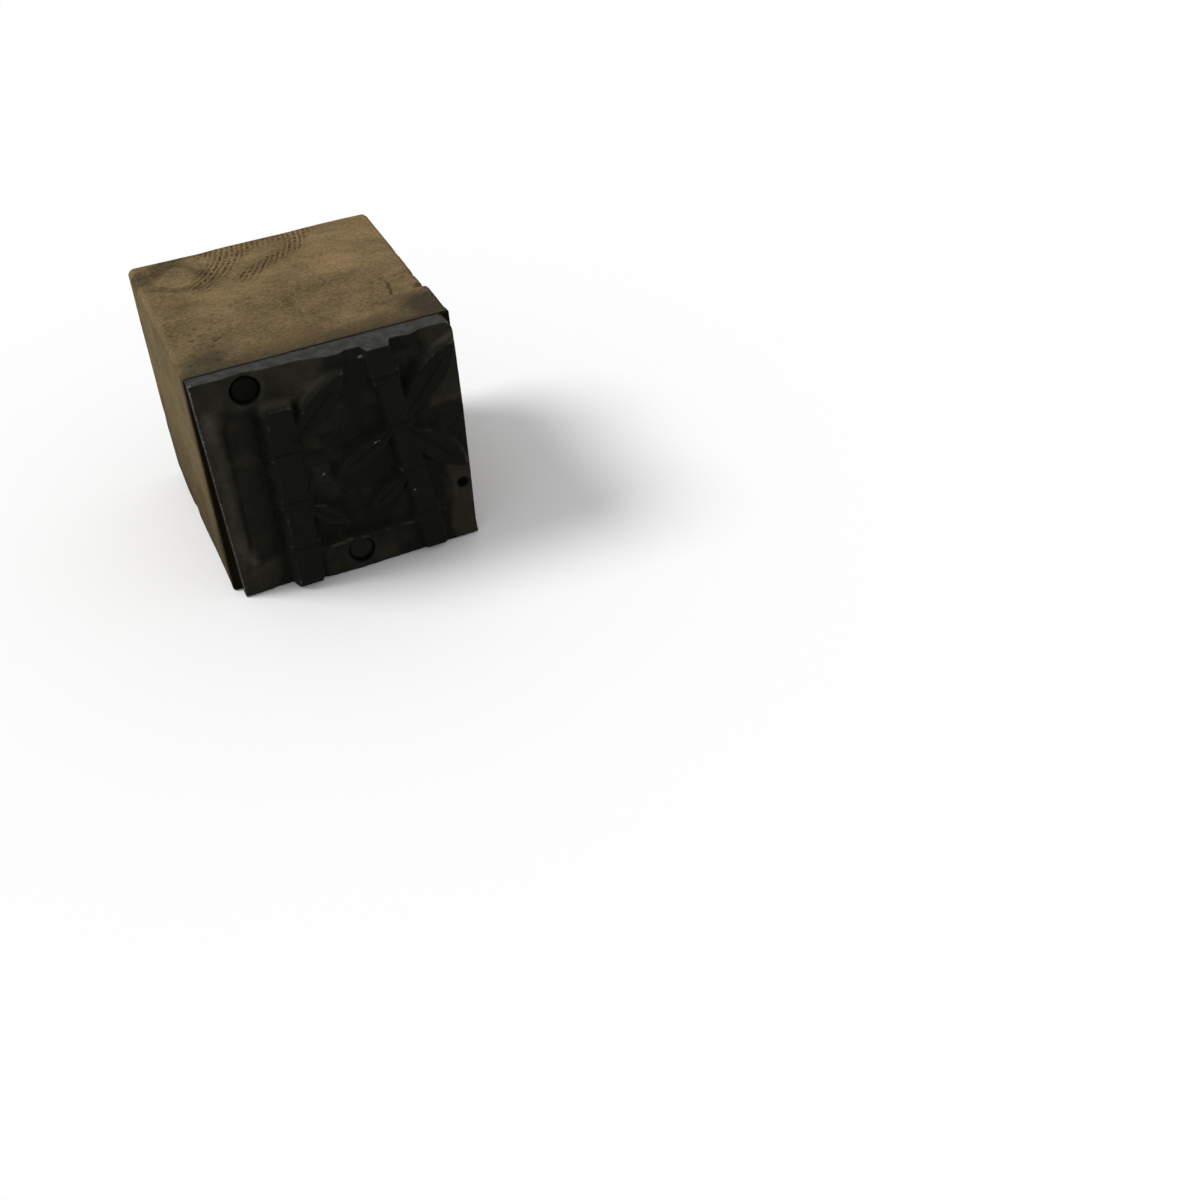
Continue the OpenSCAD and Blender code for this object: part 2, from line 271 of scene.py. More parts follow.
def makeWoodMaterial():
    material, tree, shader, place = newMaterial("agedHardwood", specular=0.0, roughness=0.75)
    figure = placeGroup(tree, woodFigure, {"Vector": place, "Fineness": 1.0})
    bands = spread(tree, figure["Bands"], 0.36, 0.66, 0.0, 0.4)
    base = mixColour(tree, bands, woodFinish["tan"], woodFinish["olive"])
    growth = rings(tree, place, woodFinish["ringCentre"], woodFinish["ringPitch"], "X", 2.5)
    growth = spread(tree, growth, 0.2, 1.0, 0.0, 0.4)
    end = mixColour(tree, growth, woodFinish["endGrain"], woodFinish["endGrainDark"])
    end = mixColour(tree, times(tree, bands, 0.7), end, woodFinish["endGrainDark"])
    base = mixColour(tree, mask(tree, "endGrain"), base, end)
    uneven = times(tree, maths(tree, "SUBTRACT", figure["Bands"], 0.5), 0.7)
    # age tone, with painted shade low on the left face
    agedAndShaded = maths(tree, "ADD", mask(tree, "agedAndShaded"), uneven)
    base = mixColour(tree, spread(tree, agedAndShaded, -0.1, 1.0), base, woodFinish["olive"])
    for low, high, strength, tone in ((0.5, 0.74, 0.5, "pale"), (0.48, 0.26, 0.42, "pore")):
        fibre = spread(tree, figure["Fibres"], low, high, 0.0, strength)
        base = mixColour(tree, fibre, base, woodFinish[tone])
    base = mixColour(tree, times(tree, figure["Pores"], 0.26), base, woodFinish["pore"])
    grain = noise(tree, stretched(tree, place, (3.5, 8.0, 8.0)), 1.0, detail=3.0, roughness=0.7)
    for low, high, tone in ((0.52, 0.68, "pale"), (0.47, 0.32, "pore")):
        base = mixColour(tree, spread(tree, grain, low, high, 0.0, 0.5), base, woodFinish[tone])
    worn = {"Vector": place, "Edges": mask(tree, "worn"), "Scale": 1.6, "Raggedness": 0.7}
    wear = placeGroup(tree, edgeWear, worn)["Mask"]
    base = mixColour(tree, times(tree, wear, 0.16), base, woodFinish["pale"])
    base = mixColour(tree, mask(tree, "reddish"), base, woodFinish["red"])
    patches = placeGroup(tree, grime, {"Vector": place, "Scale": 0.35, "Amount": 0.44, "Specks": 0.6})
    base = mixColour(tree, times(tree, patches["Mask"], 0.35), base, woodFinish["dirtAndShade"])
    scuffs = placeGroup(tree, castSkin, {"Vector": place, "Scale": 0.6})["Scratches"]
    base = mixColour(tree, times(tree, scuffs, mask(tree, "handled")), base, woodFinish["pale"])
    speckle = noise(tree, place, 4.5, detail=3.0, roughness=0.7)
    # dirt, with painted shade low on the left face
    dirtAndShade = times(tree, mask(tree, "dirtAndShade"), spread(tree, speckle, 0.2, 0.7, 0.7, 1.0))
    base = mixColour(tree, dirtAndShade, base, woodFinish["dirtAndShade"])
    stain = times(tree, mask(tree, "stain"), spread(tree, speckle, 0.4, 0.58, 0.5, 1.0))
    base = mixColour(tree, stain, base, woodFinish["stain"])
    ridge = rings(tree, place, woodFinish["ridgeCentre"], woodFinish["ridgePitch"], "Z", 1.6)
    lines = spread(tree, ridge, 0.1, 0.6)
    broken = spread(tree, noise(tree, place, 3.4, detail=4.0, roughness=0.7), 0.4, 0.58)
    smudge = times(tree, times(tree, lines, broken), mask(tree, "smudge"))
    base = mixColour(tree, smudge, base, woodFinish["pore"])
    # painted shade: pits, crack, chip crevice and the front face at the plate go near-black; the seam also
    # carries ink stain, and a bruise is a real mark
    base = mixColour(tree, mask(tree, "pitShadeAndBruise"), base, woodFinish["creviceShadeAndBruise"])
    tree.links.new(base, shader.inputs["Base Color"])
    tree.links.new(spread(tree, figure["Fibres"], 0.2, 0.8, 0.68, 0.88), shader.inputs["Roughness"])
    bump(tree, shader, figure["Height"], 0.04, 0.6)
    return material


metalFinish = {
    "ink": colour(24, 24, 20),
    "ground": colour(44, 43, 36),
    "groundPale": colour(56, 54, 45),
    "groundPink": colour(54, 49, 42),
    # painted shade: near-black tone for recesses, nail rims and the plate's sides by the wood; the random
    # dark flecks use it too
    "hollow": colour(19, 19, 16),
    "dust": colour(92, 90, 80),
    "edgeLine": colour(70, 69, 60),
    "sawn": colour(62, 62, 58),
    "sawnDark": colour(36, 35, 32),
    "bright": colour(158, 157, 148),
    "nail": colour(15, 15, 12),
    "nailPale": colour(21, 21, 17),
    "rust": colour(30, 25, 18),
}


def makeInkedMaterial():
    material, tree, shader, place = newMaterial("inkedTypeMetal", specular=0.025, roughness=0.7)
    skin = placeGroup(tree, castSkin, {"Vector": place, "Scale": 1.0})
    blotches = spread(tree, skin["Blotches"], 0.35, 0.65)
    base = mixColour(tree, blotches, metalFinish["ground"], metalFinish["groundPale"])
    base = mixColour(tree, mask(tree, "pinkish"), base, metalFinish["groundPink"])
    thin = spread(tree, skin["Blotches"], 0.2, 0.7, 1.0, 0.86)
    base = mixColour(tree, times(tree, mask(tree, "inked"), thin), base, metalFinish["ink"])
    # painted shade: darkens the recesses, the line beside the upright bar, the nail rims and the sides
    base = mixColour(tree, mask(tree, "hollow"), base, metalFinish["hollow"])
    dusty = placeGroup(tree, grime, {"Vector": place, "Scale": 0.9, "Amount": 0.55, "Specks": 0.7})
    dust = times(tree, mask(tree, "dusty"), spread(tree, dusty["Mask"], 0.0, 1.0, 0.35, 0.8))
    base = mixColour(tree, dust, base, metalFinish["dust"])
    worn = {"Vector": place, "Edges": mask(tree, "edge"), "Scale": 0.9, "Raggedness": 0.8}
    wear = placeGroup(tree, edgeWear, worn)
    base = mixColour(tree, times(tree, wear["Mask"], 0.6), base, metalFinish["edgeLine"])
    base = mixColour(tree, times(tree, skin["Scratches"], 0.1), base, metalFinish["dust"])
    for low, high, strength, tone in ((0.54, 0.76, 0.36, "edgeLine"), (0.46, 0.28, 0.5, "hollow")):
        fleck = spread(tree, skin["Height"], low, high, 0.0, strength)
        base = mixColour(tree, fleck, base, metalFinish[tone])
    base = mixColour(tree, mask(tree, "glint"), base, metalFinish["bright"])
    tree.links.new(base, shader.inputs["Base Color"])
    tree.links.new(spread(tree, skin["Blotches"], 0.3, 0.7, 0.6, 0.8), shader.inputs["Roughness"])
    bump(tree, shader, skin["Height"], 0.02, 0.6)
    return material


def makeSawnMaterial():
    material, tree, shader, place = newMaterial("sawnTypeMetal", specular=0.06, roughness=0.55)
    skin = placeGroup(tree, castSkin, {"Vector": place, "Scale": 2.4})
    blotches = spread(tree, skin["Blotches"], 0.3, 0.7)
    base = mixColour(tree, blotches, metalFinish["sawnDark"], metalFinish["sawn"])
    worn = {"Vector": place, "Edges": mask(tree, "edge"), "Scale": 3.0, "Raggedness": 0.4}
    wear = placeGroup(tree, edgeWear, worn)
    base = mixColour(tree, times(tree, wear["Mask"], 0.7), base, metalFinish["bright"])
    for low, high, strength, tone in ((0.56, 0.72, 0.35, "dust"), (0.46, 0.3, 0.4, "hollow")):
        fleck = spread(tree, skin["Height"], low, high, 0.0, strength)
        base = mixColour(tree, fleck, base, metalFinish[tone])
    # painted shade: darkens the sides next to the wood and the left side
    base = mixColour(tree, mask(tree, "hollow"), base, metalFinish["hollow"])
    base = mixColour(tree, mask(tree, "glint"), base, metalFinish["bright"])
    tree.links.new(base, shader.inputs["Base Color"])
    tree.links.new(spread(tree, skin["Blotches"], 0.2, 0.8, 0.42, 0.62), shader.inputs["Roughness"])
    bump(tree, shader, skin["Height"], 0.015, 0.6)
    return material


def makeNailMaterial():
    material, tree, shader, place = newMaterial("inkedNailSteel", specular=0.02, roughness=0.7)
    skin = placeGroup(tree, castSkin, {"Vector": place, "Scale": 2.2})
    blotches = spread(tree, skin["Blotches"], 0.3, 0.7)
    base = mixColour(tree, blotches, metalFinish["nail"], metalFinish["nailPale"])
    rust = placeGroup(tree, grime, {"Vector": place, "Scale": 1.2, "Amount": 0.4, "Specks": 0.8})
    base = mixColour(tree, times(tree, rust["Mask"], 0.4), base, metalFinish["rust"])
    base = mixColour(tree, mask(tree, "rubbed"), base, metalFinish["ground"])
    tree.links.new(base, shader.inputs["Base Color"])
    tree.links.new(spread(tree, skin["Blotches"], 0.2, 0.8, 0.5, 0.75), shader.inputs["Roughness"])
    bump(tree, shader, skin["Height"], 0.02, 0.7)
    return material


def makeBrightMaterial():
    material, tree, shader, place = newMaterial("brightBurr", specular=0.4, roughness=0.45, metallic=0.4)
    skin = placeGroup(tree, castSkin, {"Vector": place, "Scale": 4.0})
    shade = spread(tree, skin["Blotches"], 0.35, 0.65)
    base = mixColour(tree, shade, metalFinish["sawn"], metalFinish["bright"])
    tree.links.new(base, shader.inputs["Base Color"])
    tree.links.new(spread(tree, skin["Height"], 0.2, 0.8, 0.35, 0.6), shader.inputs["Roughness"])
    return material


woodMaterial = makeWoodMaterial()
inkedMaterial = makeInkedMaterial()
sawnMaterial = makeSawnMaterial()
nailMaterial = makeNailMaterial()
brightMaterial = makeBrightMaterial()
print("materials made")


# Mesh building
def newPiece(name, points, faces, materials):
    mesh = bpy.data.meshes.new(name)
    mesh.from_pydata(points, [], faces)
    for material in materials:
        mesh.materials.append(material)
    piece = bpy.data.objects.new(name, mesh)
    bpy.context.scene.collection.objects.link(piece)
    return piece


def soften(piece, sharpAngle):
    piece.data.shade_smooth()
    piece.data.set_sharp_from_angle(angle=math.radians(sharpAngle))


def places(piece):
    flat = np.empty(len(piece.data.vertices) * 3)
    piece.data.vertices.foreach_get("co", flat)
    return flat.reshape(-1, 3) / mm


def paint(piece, name, values):
    layer = piece.data.attributes.new(name, "FLOAT", "POINT")
    layer.data.foreach_set("value", np.clip(values, 0.0, 1.0).astype(np.float32))


def smooth(values, low, high):
    part = np.clip((values - low) / (high - low), 0.0, 1.0)
    return part * part * (3 - 2 * part)


# Soft random values between -1 and 1, on a lattice whose cells have that size
def softNoise(points, cell, seed):
    table = np.random.default_rng(seed).uniform(-1, 1, (32, 32, 32))
    scaled = points / np.asarray(cell, float)
    base = np.floor(scaled).astype(int)
    part = scaled - base
    part = part * part * (3 - 2 * part)
    total = np.zeros(len(points))
    for corner in np.ndindex(2, 2, 2):
        weight = np.prod(np.where(corner, part, 1 - part), axis=1)
        index = (base + corner) % 32
        total += weight * table[index[:, 0], index[:, 1], index[:, 2]]
    return total


# Stops from low to high, closer together near each focus (place, width, strength)
def stops(low, high, count, focuses):
    fine = np.linspace(low, high, 4000)
    density = np.ones_like(fine)
    for place, width, strength in focuses:
        density += strength * np.exp(-(((fine - place) / width) ** 2))
    run = np.concatenate([[0], np.cumsum((density[1:] + density[:-1]) / 2)])
    return np.interp(np.linspace(0, run[-1], count + 1), run, fine)


# Cuts the cutter's solid out of the piece and leaves a plain mesh
def cutOut(piece, cutter):
    change = piece.modifiers.new("cut", "BOOLEAN")
    change.operation = "DIFFERENCE"
    change.solver = "MANIFOLD"
    change.object = cutter
    bpy.context.view_layer.update()
    result = bpy.data.meshes.new_from_object(piece.evaluated_get(bpy.context.evaluated_depsgraph_get()))
    piece.modifiers.remove(change)
    old = piece.data
    piece.data = result
    bpy.data.meshes.remove(old)
    spent = cutter.data
    bpy.data.objects.remove(cutter)
    bpy.data.meshes.remove(spent)


# A round drill along Y, from one depth to another, with a point at its far end
def drill(across, up, radius, near, far, tip, sides=64):
    rings = [(near, radius), (far - tip, radius)]
    points = []
    for depth, size in rings:
        for step in range(sides):
            angle = 2 * math.pi * step / sides
            points.append((across + size * math.cos(angle), depth, up + size * math.sin(angle)))
    points += [(across, near, up), (across, far, up)]
    faces = []
    for step in range(sides):
        after = (step + 1) % sides
        faces.append((after, step, sides + step, sides + after))
        faces.append((step, after, 2 * sides))
        faces.append((sides + after, sides + step, 2 * sides + 1))
    return newPiece("drill", [[value * mm for value in point] for point in points], faces, [])


def boxOf(name):
    low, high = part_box(name)
    return np.array(low) / mm, np.array(high) / mm


woodLow, woodHigh = boxOf("wood_mount")
plateLow, plateHigh = boxOf("relief_plate")

nailShape = {
    "headThickness": 0.5,
    "shankRadius": 0.55,
    "pinRadius": 0.375,
    "point": 1.4,
    "recessGap": {"top_nail": 0.15, "bottom_nail": 0.06, "edge_pin": 0.15},
    "shankGap": 0.02,
}

# Where the nails go: middle across, middle up, and the places that the frame gives them
nails = {}
for name in ("top_nail", "bottom_nail", "edge_pin"):
    low, high = boxOf(name)
    nails[name] = {
        "across": (low[0] + high[0]) / 2,
        "up": (low[2] + high[2]) / 2,
        "front": low[1],
        "tip": high[1],
        "radius": (high[0] - low[0]) / 2,
        "recess": (high[0] - low[0]) / 2 + nailShape["recessGap"][name],
    }

woodShape = {
    "stopsAcross": 150,
    "stopsDeep": 150,
    "stopsUp": 84,
    "rounding": 0.42,
    "coveredRounding": 0.2,
    "footLowRounding": 1.5,
    "footTopRounding": 0.55,
    "unevenness": 0.035,
    "roughness": 0.014,
    "edgeWaver": 0.07,
    "backWear": 0.32,  # how far the right side's back part is worn in at the top
    "chipMiddle": -3.75,
    "chipWidth": 1.0,
    "chipIn": 1.25,
    "chipDown": 1.5,
    "crack": (8.05, -2.9, 1.3, 0.13),  # across, along, half length, half width
}

# Ink marks on the top as strokes: start, end, half width and strength
stainStrokes = [
    ((-10.9, 8.8), (-7.2, 11.0), 1.35, 0.95), ((-10.6, 8.8), (-10.3, 7.2), 0.8, 0.6),
    ((-10.5, 7.2), (-8.2, 5.7), 0.5, 0.6), ((-8.2, 5.7), (-6.0, 5.1), 0.45, 0.6),
    ((-6.9, 9.6), (-5.5, 7.6), 0.5, 0.65), ((-7.1, 11.2), (-4.0, 11.4), 0.5, 0.7),
]
smudgeStrokes = [
    ((-5.9, 5.4), (-2.6, 9.4), 1.5, 0.9), ((-2.6, 9.4), (-0.8, 11.2), 1.5, 0.8),
    ((-4.6, 11.0), (4.4, 10.9), 1.1, 0.8), ((4.4, 11.0), (3.0, 8.6), 0.9, 0.85),
    ((3.0, 8.6), (-2.3, 5.1), 1.0, 0.9),
]

# Small pits on the top: across, along and radius
topPits = [
    (-6.45, 0.13, 0.14), (-6.65, -1.28, 0.15), (-8.35, -1.58, 0.14), (-7.25, -2.1, 0.12),
    (-8.95, -3.28, 0.16), (-8.15, -2.88, 0.15), (-6.85, -3.78, 0.17), (-7.25, -4.08, 0.2),
    (-7.65, -4.88, 0.15), (-7.55, -6.1, 0.16), (-7.75, -7.28, 0.17), (-10.0, -7.0, 0.15),
    (-9.4, -5.6, 0.12), (-0.6, -0.7, 0.14), (-0.4, -2.2, 0.12), (4.9, -2.5, 0.12),
    (7.95, -0.9, 0.14), (9.6, -1.6, 0.13), (9.3, -1.0, 0.1), (-10.3, -1.7, 0.14),
]

# Dents in the edges: middle and size, each pushed in along the surface
edgeDents = [
    ((-11.1, -6.2, 21.5), 0.8, 0.2), ((-11.1, -4.1, 21.5), 0.5, 0.13), ((-11.1, 0.6, 21.5), 0.7, 0.1),
    ((-11.1, -8.2, 21.5), 0.4, 0.12), ((-4.8, 11.7, 21.5), 1.2, 0.05), ((11.1, 3.2, 21.5), 0.6, 0.08),
    ((11.1, -1.2, 21.5), 0.4, 0.14), ((11.1, 11.6, 9.0), 0.8, 0.16), ((11.1, -8.8, 15.0), 0.6, 0.12),
    ((-11.1, 4.0, 0.1), 0.7, 0.14), ((11.1, 2.0, 0.1), 0.8, 0.12), ((3.0, 11.7, 0.3), 1.1, 0.12),
    ((-6.0, 11.7, 0.2), 0.7, 0.14), ((-11.1, 11.6, 6.5), 0.8, 0.05),
]


# The lattice of points on the skin of a box, and the faces between them
def boxSkin(across, along, up):
    shape = (len(across), len(along), len(up))
    onSkin = np.zeros(shape, bool)
    for axis in range(3):
        ends = [slice(None)] * 3
        for end in (0, -1):
            ends[axis] = end
            onSkin[tuple(ends)] = True
    index = np.full(shape, -1)
    index[onSkin] = np.arange(onSkin.sum())
    i, j, k = np.nonzero(onSkin)
    points = np.stack([across[i], along[j], up[k]], axis=1)
    faces = []
    for axis in range(3):
        for end, flip in ((0, axis != 1), (-1, axis == 1)):
            sheet = index.take(end, axis=axis)
            a, b, c, d = sheet[:-1, :-1], sheet[1:, :-1], sheet[1:, 1:], sheet[:-1, 1:]
            order = (a, d, c, b) if flip else (a, b, c, d)
            faces.append(np.stack([part.ravel() for part in order], axis=1))
    return points, np.concatenate(faces)


def woodRounding(points):
    x, y, z = points.T
    radius = np.full(len(points), woodShape["rounding"])
    covered = 1 - smooth(y, woodLow[1] + 0.3, woodLow[1] + 1.6)
    radius += (woodShape["coveredRounding"] - woodShape["rounding"]) * covered
    back = smooth(y, woodHigh[1] - 5, woodHigh[1] - 1)
    radius += (woodShape["footLowRounding"] - woodShape["rounding"]) * back * (1 - smooth(z, 0.5, 6))
    radius += (woodShape["footTopRounding"] - woodShape["rounding"]) * back * smooth(z, 15, 21)
    return radius * (1 + 0.22 * softNoise(points, 2.6, 11))


def shapeWood(points):
    radius = woodRounding(points)[:, None]
    inner = np.clip(points, woodLow + radius, woodHigh - radius)
    away = points - inner
    outward = away / np.linalg.norm(away, axis=1)[:, None]
    points = inner + outward * radius
    edge = 1 - np.max(np.abs(outward), axis=1)  # 0 on the flat faces, rising on the edges
    push = woodShape["unevenness"] * (1 + softNoise(points, 3.4, 21)) / 2
    push += woodShape["roughness"] * (1 + softNoise(points, (1.1, 0.28, 0.28), 22)) / 2
    push += woodShape["edgeWaver"] * smooth(edge, 0.02, 0.25) * (1 + softNoise(points, 0.9, 23)) / 2
    for middle, size, depth in edgeDents:
        push += depth * np.exp(-(np.sum((points - middle) ** 2, axis=1) / size**2))
    for across, along, size in topPits:
        near = ((points[:, 0] - across) / 1.5) ** 2 + (points[:, 1] - along) ** 2
        push += 0.09 * np.exp(-near / size**2) * (points[:, 2] > woodHigh[2] - 0.5)
    push += 0.1 * crackMask(points)
    points = points - outward * push[:, None]
    return chipWood(wearBack(points))


def crackMask(points):
    across, along, reach, width = woodShape["crack"]
    x, y, z = points.T
    sway = 0.12 * np.sin(2.1 * y) + 0.05 * np.sin(5.3 * y)
    line = 1 - smooth(np.abs(x - across - sway), width * 0.4, width * 1.6)
    ends = 1 - smooth(np.abs(y - along), reach * 0.75, reach)
    return line * ends * (z > woodHigh[2] - 0.6)


# The right side's top edge is worn in behind the chip and stands out in front of it
def wearBack(points):
    x, y, z = points.T
    behind = smooth(y, woodShape["chipMiddle"] - 0.2, woodShape["chipMiddle"] + 0.25)
    high = smooth(z, woodHigh[2] - 5, woodHigh[2] - 0.3)
    right = smooth(x, woodHigh[0] - 2.2, woodHigh[0] - 0.2)
    points[:, 0] -= woodShape["backWear"] * behind * high * right
    return points


# A split in the top right edge: each point near it slides inwards to the split's slanting bed
def chipWood(points):
    x, y, z = points.T
    reach = (woodHigh[0] - x) / woodShape["chipIn"] + (woodHigh[2] - z) / woodShape["chipDown"]
    rest = np.clip(1 - reach, 0, 1)
    offset = y - woodShape["chipMiddle"] - 0.15 * (1 - rest)
    halfWidth = woodShape["chipWidth"] / 2 * np.sqrt(rest + 0.02)
    steepSide = np.where(offset < 0, 0.55, 1.45)  # the front side is the steeper one
    profile = np.clip(1 - np.abs(offset) / (halfWidth * steepSide), 0, 1)
    slide = np.sqrt(profile) * rest
    points[:, 0] -= slide * woodShape["chipIn"] / 2
    points[:, 2] -= slide * woodShape["chipDown"] / 2
    return points


def paintWood(piece):
    points = places(piece)
    x, y, z = points.T
    top = smooth(z, woodHigh[2] - 1.0, woodHigh[2] - 0.2)
    wander = softNoise(points, 1.6, 31)
    wander2 = softNoise(points, 0.7, 32)
    sides = smooth(np.abs(x), woodHigh[0] - 0.5, woodHigh[0] - 0.1)
    leftSide = sides * (x < 0)
    foot = smooth(y, woodHigh[1] - 0.6, woodHigh[1] - 0.1)
    hidden = np.maximum.reduce([sides * (x > 0), foot, 1 - smooth(z, 0.1, 0.6)])
    paint(piece, "endGrain", sides * (1 - 0.5 * top))
    front = y - woodLow[1]  # distance behind the plate
    middle = np.exp(-(((x - 2.2) / 4.6) ** 2 + ((y - 0.4) / 2.2) ** 2))
    leftMiddle = np.exp(-(((x + 9.6) / 2.0) ** 2 + ((y - 0.9) / 2.8) ** 2))
    plain = smooth(x, 1.5, 5.0) * smooth(y, 1.0, 4.0)
    agedAndShaded = 0.32 + 0.42 * middle + 0.35 * leftMiddle + 0.25 * (1 - smooth(y, -4.0, 1.5)) - 0.42 * plain
    # the left-face term is painted shade: the left face darker towards the bottom
    agedAndShaded = agedAndShaded * top + 0.3 * leftSide * (1 - smooth(z + 1.5 * wander, 2, 16)) + 0.35 * hidden
    paint(piece, "agedAndShaded", agedAndShaded + 0.12 * wander)
    paint(piece, "handled", 0.45 * hidden)
    fromEdge = np.hypot(np.minimum(np.abs(x - woodLow[0]), np.abs(woodHigh[0] - x)), woodHigh[2] - z)
    worn = 0.75 * np.exp(-(((fromEdge - 0.25) / 0.45) ** 2))
    paint(piece, "worn", worn + 0.2 * wander2 * (fromEdge < 1))
    frontLeft = 0.75 * np.exp(-(((x + 8.6) / 2.6) ** 2 + ((y + 6.9) / 1.9) ** 2)) * top
    frontRight = (1 - smooth(front + 0.5 * wander, 3.2, 4.8)) * smooth(x + 0.8 * wander, 6.5, 9.5) * top
    along = 0.8 * (1 - smooth(front + 0.5 * wander, 0.2, 3.2)) * top
    # Painted shade: the left face darker towards the bottom
    lowLeft = 0.6 * leftSide * (1 - smooth(z + wander, 0, 13))
    lowLeft += 0.85 * leftSide * (1 - smooth(front + 0.5 * wander, 0.5, 2.4))
    lowBack = 0.35 * leftSide * np.exp(-(((y + 2.8) / 1.2) ** 2 + ((z - 3.6) / 1.4) ** 2))
    inset = np.minimum(woodHigh[0] - np.abs(x), woodHigh[1] - np.abs(y))
    handled = 0.4 * hidden * (1 - smooth(inset + 0.8 * wander, 0.2, 2.6))
    under = 0.45 * (1 - smooth(z, 0.0, 1.2))
    dirtAndShade = np.maximum.reduce([frontLeft, frontRight, along, lowLeft, lowBack, handled, under])
    paint(piece, "dirtAndShade", dirtAndShade + 0.12 * wander2 * dirtAndShade)
    reddish = 0.3 * np.exp(-(((x + 0.7) / 2.3) ** 2 + ((y + 6.6) / 1.1) ** 2)) * top
    redSeam = 0.6 * (1 - smooth(front, 0.1, 0.7)) * smooth(x, 0, 4) * top
    redSeam += 0.8 * (1 - smooth(front + 0.15 * wander2, 0.25, 0.6)) * leftSide * (1 - top)
    redSeam += 0.5 * leftSide * np.exp(-(((y + 2.8) / 1.2) ** 2 + ((z - 4.5) / 2.6) ** 2))
    paint(piece, "reddish", np.maximum(reddish, redSeam) + 0.1 * wander)
    blank = 1 - smooth(np.hypot((x + 7.35) / 1.2, (y - 8.1) / 1.65) + 0.1 * wander2, 0.8, 1.1)
    cornerBare = smooth(np.hypot(x + 11.15, y - 11.7) + 0.4 * wander, 0.8, 1.7)
    stain = strokes(x, y, stainStrokes, 0.35 * wander) * (1 - blank) * cornerBare
    footStain = 0.4 * smooth(y, woodHigh[1] - 0.3, woodHigh[1])
    footStain *= smooth(softNoise(points, 5.0, 33), 0.15, 0.6)
    paint(piece, "stain", np.maximum(stain * top * (0.85 + 0.25 * wander2), footStain))
    paint(piece, "smudge", strokes(x, y, smudgeStrokes, 0.3 * wander) * top)
    # Painted shade in the crack and the pits, in the seam at the plate (with some ink stain) and in the
    # chip's crevice; the bruise is a real mark
    pitAndCrackShade = 0.45 * crackMask(points + [0, 0, 0.2])
    for across, along, size in topPits:
        near = ((x - across) / 1.5) ** 2 + (y - along) ** 2
        pitAndCrackShade = np.maximum(pitAndCrackShade, 0.75 * np.exp(-near / (size * 0.75) ** 2) * top)
    bruise = 0.3 * np.exp(-(((x + 0.25) / 0.35) ** 2 + ((y + 0.9) / 1.3) ** 2)) * top
    seamShadeAndStain = 0.95 * (1 - smooth(front, 0.1, 0.3))
    paint(piece, "pitShadeAndBruise", np.maximum.reduce([pitAndCrackShade, bruise, seamShadeAndStain, 0.9 * chipMask(points)]))


# Strongest of some soft strokes at each place
def strokes(x, y, marks, wander):
    total = np.zeros(len(x))
    for start, end, width, strength in marks:
        away = distanceTo(x, y, start, end) + wander
        total = np.maximum(total, strength * (1 - smooth(away, 0.45 * width, 1.15 * width)))
    return total


# How far inside the chip's crevice each place is
def chipMask(points):
    x, y, z = points.T
    inwards = (woodHigh[0] - x) / (1.1 * woodShape["chipIn"])
    down = (woodHigh[2] - z) / (1.3 * woodShape["chipDown"])
    length = 1 - smooth(np.maximum(inwards, down), 0.7, 1.0)
    return length * (1 - smooth(np.abs(y - woodShape["chipMiddle"] - 0.05), 0.06, 0.24))


def distanceTo(x, y, start, end):
    alongX, alongY = end[0] - start[0], end[1] - start[1]
    part = ((x - start[0]) * alongX + (y - start[1]) * alongY) / (alongX**2 + alongY**2)
    part = np.clip(part, 0, 1)
    return np.hypot(x - start[0] - part * alongX, y - start[1] - part * alongY)


def makeWood():
    focusAcross = [(woodLow[0], 0.7, 2.5), (woodHigh[0], 0.9, 3.0), (-7.6, 1.6, 0.6), (8.05, 0.4, 1.6)]
    focusAlong = [(woodLow[1], 0.6, 2.5), (woodHigh[1], 1.2, 1.8), (woodShape["chipMiddle"], 0.8, 3.0)]
    focusUp = [(woodLow[2], 1.0, 2.4), (woodHigh[2], 1.0, 3.0)]
    across = stops(woodLow[0], woodHigh[0], woodShape["stopsAcross"], focusAcross)
    along = stops(woodLow[1], woodHigh[1], woodShape["stopsDeep"], focusAlong)
    up = stops(woodLow[2], woodHigh[2], woodShape["stopsUp"], focusUp)
    points, faces = boxSkin(across, along, up)
    points = np.clip(shapeWood(points), woodLow, woodHigh)
    piece = newPiece("woodBlock", (points * mm).tolist(), faces.tolist(), [woodMaterial])
    for name, nail in nails.items():
        radius = nailShape["pinRadius"] if name == "edge_pin" else nailShape["shankRadius"]
        bore = radius + nailShape["shankGap"]
        far = nail["tip"] + nailShape["shankGap"]
        cutOut(piece, drill(nail["across"], nail["up"], bore, woodLow[1] - 0.5, far, nailShape["point"]))
    soften(piece, 70)
    paintWood(piece)
    return piece


woodBlock = makeWood()
print("wood made,", len(woodBlock.data.polygons), "faces")

plateShape = {
    "stopsAcross": 256,
    "stopsUp": 250,
    "sideRows": 18,
    "thickness": 1.3,
    "relief": 1.55,
    "bench": 0.5,
    "leftLean": 0.6,  # how much further in the left edge stands at the bottom
    "rightLean": 0.2,  # how much further in the right edge stands at the top
    "bend": 13.0,
    "cornerRadius": 0.8,
    "shoulder": 0.5,
    "arris": 0.06,
    "routerWidth": 2.2,
    "routerDepth": 0.35,
    "routerAcross": -8.0,
    "routerLow": 3.4,
    "routerHigh": 17.8,
    "floorWaver": 0.07,
    "endDrop": 0.55,  # how much lower the raised parts are where they end at the bottom edge
    "endLength": 1.3,
    "lowRise": 0.32,  # how much higher the ground is there
}

